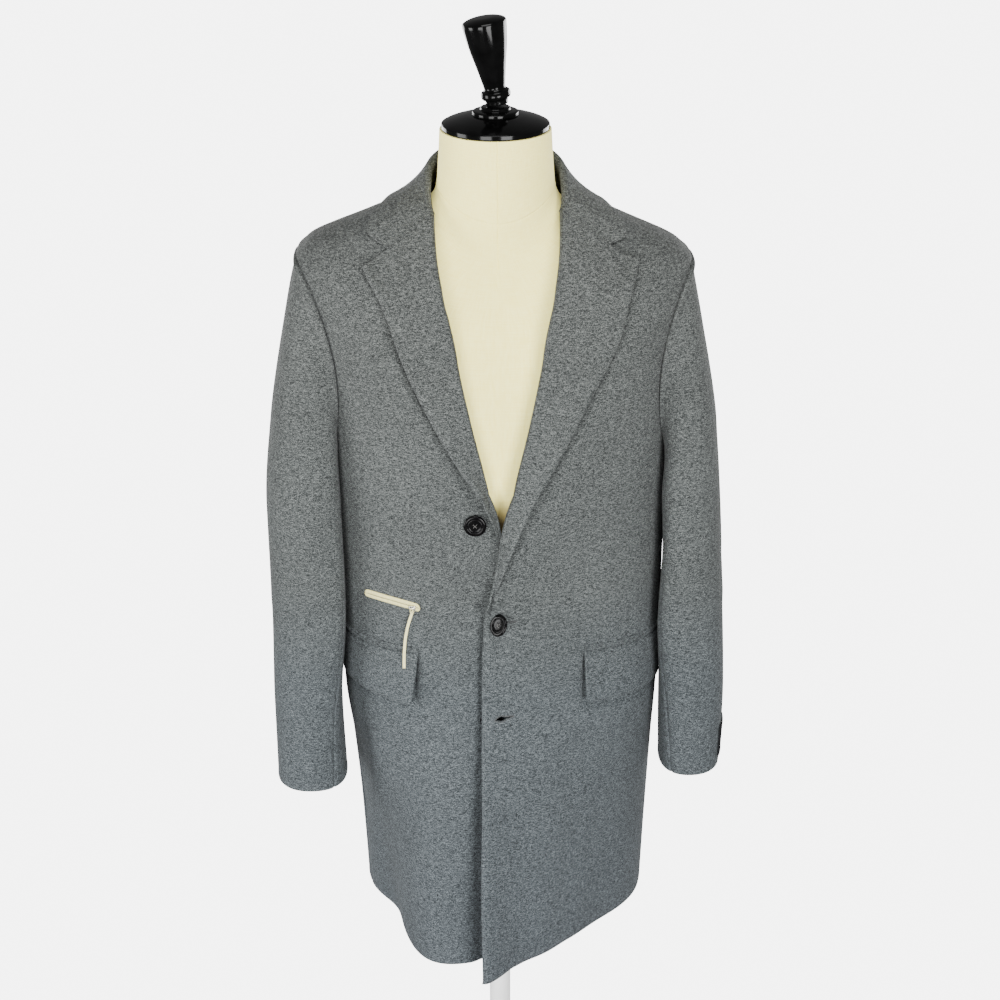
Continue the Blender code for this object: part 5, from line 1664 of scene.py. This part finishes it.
def form_mesh():
    seams = np.array([-2.4, -1.5, -0.8, -0.35, 0.0, 0.35, 0.8, 1.5, 2.4])
    near = np.concatenate([(seams + quarter) % 360.0 for quarter in QUARTERS])
    angle = np.arange(3.0, 360.0, 3.0)
    angle = np.unique(np.concatenate([angle[np.abs((angle + 45.0) % 90.0 - 45.0) > 2.9], near]))
    length = arc(ring(FORM, np.full(len(ROW_FINE), 20.0), ROW_FINE)[None], 1)[0]
    rows = np.interp(np.linspace(0.0, 1.0, 250) * length[-1], length, ROW_FINE)
    close = NECK_SEAM + np.array([-0.10, -0.07, -0.04, -0.02, 0.0, 0.02, 0.04, 0.07, 0.10])
    rows = np.sort(np.concatenate([rows[np.abs(rows - NECK_SEAM) > 0.11], close]))
    points = ring(FORM, angle[None, :], rows[:, None])
    closed = np.concatenate([points[:, -1:], points, points[:, :1]], axis=1)
    normal = grid_normals(closed)[:, 1:-1]
    off_seam = np.minimum.reduce([np.abs((angle - a + 180.0) % 360.0 - 180.0) for a in QUARTERS])
    upright = -SEAM_DEEP * np.exp(-(off_seam / 0.42) ** 2)
    upright = upright + 0.00025 * np.exp(-((off_seam - 1.3) / 0.7) ** 2)
    round_neck = -SEAM_DEEP * np.exp(-((rows - NECK_SEAM) / 0.022) ** 2)
    round_neck = round_neck + 0.0003 * np.exp(-((rows - NECK_SEAM - 0.05) / 0.03) ** 2)
    hollow = -HOLLOW.deep * np.exp(-((points[..., 2] - HOLLOW.z) / HOLLOW.high) ** 2
                                   - (points[..., 0] / HOLLOW.wide) ** 2)
    hollow = np.where(points[..., 1] < 0.0, hollow, 0.0)
    points = points + normal * (upright[None, :] + round_neck[:, None] + hollow)[..., None]
    across = np.radians((angle + 180.0) % 360.0 - 180.0) * 0.11
    flat_map = np.stack(np.broadcast_arrays(across, arc(points, 0)[:, :1]), axis=-1)
    mesh = new_mesh("form_torso_canvas", points.reshape(-1, 3), tube_faces(*points.shape[:2]),
                    flat_map.reshape(-1, 2))
    mesh.set_sharp_from_angle(angle=math.radians(60.0))
    return mesh


torso = add_piece("form_torso_canvas", form_mesh(), canvas.material, "cream_canvas", "form_torso")
print("form faces", len(torso.data.polygons))

# %% Make the cap, finial, pole and base
CAP_RADIUS, CAP_STEP, CAP_HIGH = 0.0607, 0.026, 0.0245
FINIAL_LEAN, POLE_RADIUS, BASE_RADIUS, BASE_THICK = 9.0, 0.014, 0.190, 0.022
seat = FORM[-1].side_z + SEAM
cap = [(0.0, CAP_HIGH), (0.0135, CAP_HIGH), (0.0165, 0.0235), (0.0175, 0.0210),
       (CAP_STEP * 0.92, 0.0200), (CAP_STEP, 0.0185), (CAP_STEP, 0.0160),
       (CAP_STEP * 1.25, 0.0148), (CAP_RADIUS * 0.80, 0.0108), (CAP_RADIUS * 0.95, 0.0072),
       (CAP_RADIUS, 0.0050), (CAP_RADIUS, 0.0012), (CAP_RADIUS * 0.985, 0.0), (0.0, 0.0)]
cap = [(radius, seat + height) for radius, height in cap]
finial = [(0.0, 0.0970), (0.0120, 0.0963), (0.0205, 0.0942), (0.0238, 0.0922), (0.0246, 0.0898),
          (0.0218, 0.0680), (0.0172, 0.0460), (0.0135, 0.0275), (0.0120, 0.0190),
          (0.0128, 0.0168), (0.0158, 0.0148), (0.0167, 0.0110), (0.0158, 0.0075),
          (0.0128, 0.0055), (0.0118, 0.0000), (0.0, 0.0)]
foot, pole_top = BASE_THICK + SEAM, FORM[0].side_z - SEAM
pole = [(0.0, pole_top), (POLE_RADIUS, pole_top), (POLE_RADIUS, foot + 0.030),
        (POLE_RADIUS * 1.9, foot + 0.022), (POLE_RADIUS * 2.1, foot), (0.0, foot)]
base = [(0.0, BASE_THICK), (POLE_RADIUS * 2.6, BASE_THICK), (BASE_RADIUS * 0.90, BASE_THICK * 0.72),
        (BASE_RADIUS * 0.98, BASE_THICK * 0.55), (BASE_RADIUS, BASE_THICK * 0.30),
        (BASE_RADIUS, 0.0), (0.0, 0.0)]

cap_mesh, knob_mesh = turned("neck_cap_lacquer", cap, 96), turned("finial_lacquer", finial, 72)
rise = 0.0118 * math.sin(math.radians(FINIAL_LEAN))
knob_mesh.transform(Matrix.Translation((0.0022, 0.0, seat + CAP_HIGH + SEAM + rise))
                    @ turn_about("Y", -FINIAL_LEAN))
for name, mesh, finish, slot, stands_for in (
        ("neck_cap_lacquer", cap_mesh, lacquer, "black_lacquer", "neck_cap"),
        ("finial_lacquer", knob_mesh, lacquer, "black_lacquer", "finial"),
        ("pole_steel", turned("pole_steel", pole, 48), steel, "pale_steel", "pole"),
        ("base_steel", turned("base_steel", base, 96), steel, "pale_steel", "base")):
    mesh.set_sharp_from_angle(angle=math.radians(42.0))
    piece = add_piece(name, mesh, finish.material, slot, stands_for)
    print(piece.name, "faces", len(mesh.polygons))

# %% [markdown]
# ## Floor and light
#
# The floor is a pale disc about twice as wide as the base, which only the views from above show.
# The background is a bright world that only the camera sees: to the cloth the same world is a
# faint even light. Two softboxes stand in front, one hangs above, one stands far out at the left
# of the picture, and two behind draw the outline and light the back.

# %% Floor
FLOOR_RADIUS, FLOOR_DROP = 0.42, -0.0005
rim = at_height(oval(2.0 * FLOOR_RADIUS, 2.0 * FLOOR_RADIUS, 128), FLOOR_DROP)
floor_mesh = bpy.data.meshes.new("floor")
floor_mesh.from_pydata(rim.tolist(), [], [list(range(len(rim)))])
pale_floor = Finish("pale_floor", 0.9)
plain = pale_floor.effect(MOTTLE, pale_floor.object, Per_Metre=0.6)
pale_floor.colour(pale_floor.ramp(plain["Shade"],
                                  (0.0, (0.86, 0.86, 0.86)), (1.0, (0.88, 0.88, 0.88))))
floor_mesh.materials.append(pale_floor.material)
floor = put_in_scene("floor", floor_mesh)
print("floor radius", FLOOR_RADIUS)

# %% Background
AMBIENT, BACKDROP = 0.25, 6.0
world = bpy.data.worlds.new("studio")
bpy.context.scene.world = world
world.use_nodes = True
sky = world.node_tree.nodes["Background"]
seen = add_node(world.node_tree, "ShaderNodeLightPath")
sky.inputs["Color"].default_value = (1.0, 1.0, 1.0, 1.0)
brighter = math_node(world.node_tree, "MULTIPLY", seen.outputs["Is Camera Ray"], BACKDROP - AMBIENT)
strength = math_node(world.node_tree, "ADD", brighter, AMBIENT)
world.node_tree.links.new(strength, sky.inputs["Strength"])
print("background", BACKDROP, "ambient", AMBIENT)

# %% Lights
Softbox = namedtuple("Softbox", "name place aim_z wide high watts")
for box in (
        Softbox("left_front_light", (-0.9, -2.3, 1.1), 1.05, 1.0, 1.2, 76.0),
        Softbox("right_front_light", (0.9, -2.3, 1.2), 1.10, 1.0, 1.2, 95.0),
        Softbox("top_light", (0.0, -1.4, 3.5), 1.0, 1.6, 1.2, 78.0),
        Softbox("left_light", (-2.2, -0.5, 1.15), 1.08, 0.9, 1.3, 62.0),
        Softbox("right_back_light", (2.0, 1.9, 1.5), 1.0, 1.6, 1.4, 110.0),
        Softbox("left_back_light", (-1.6, 2.3, 1.3), 1.0, 1.6, 1.4, 70.0)):
    lamp = bpy.data.lights.new(box.name, "AREA")
    lamp.shape = "RECTANGLE"
    lamp.size, lamp.size_y, lamp.energy = box.wide, box.high, box.watts
    light = put_in_scene(box.name, lamp)
    light.location = box.place
    aim = Vector((0.0, 0.0, box.aim_z)) - Vector(box.place)
    light.rotation_euler = aim.to_track_quat("-Z", "Y").to_euler()
    print(box.name, box.watts, "W")
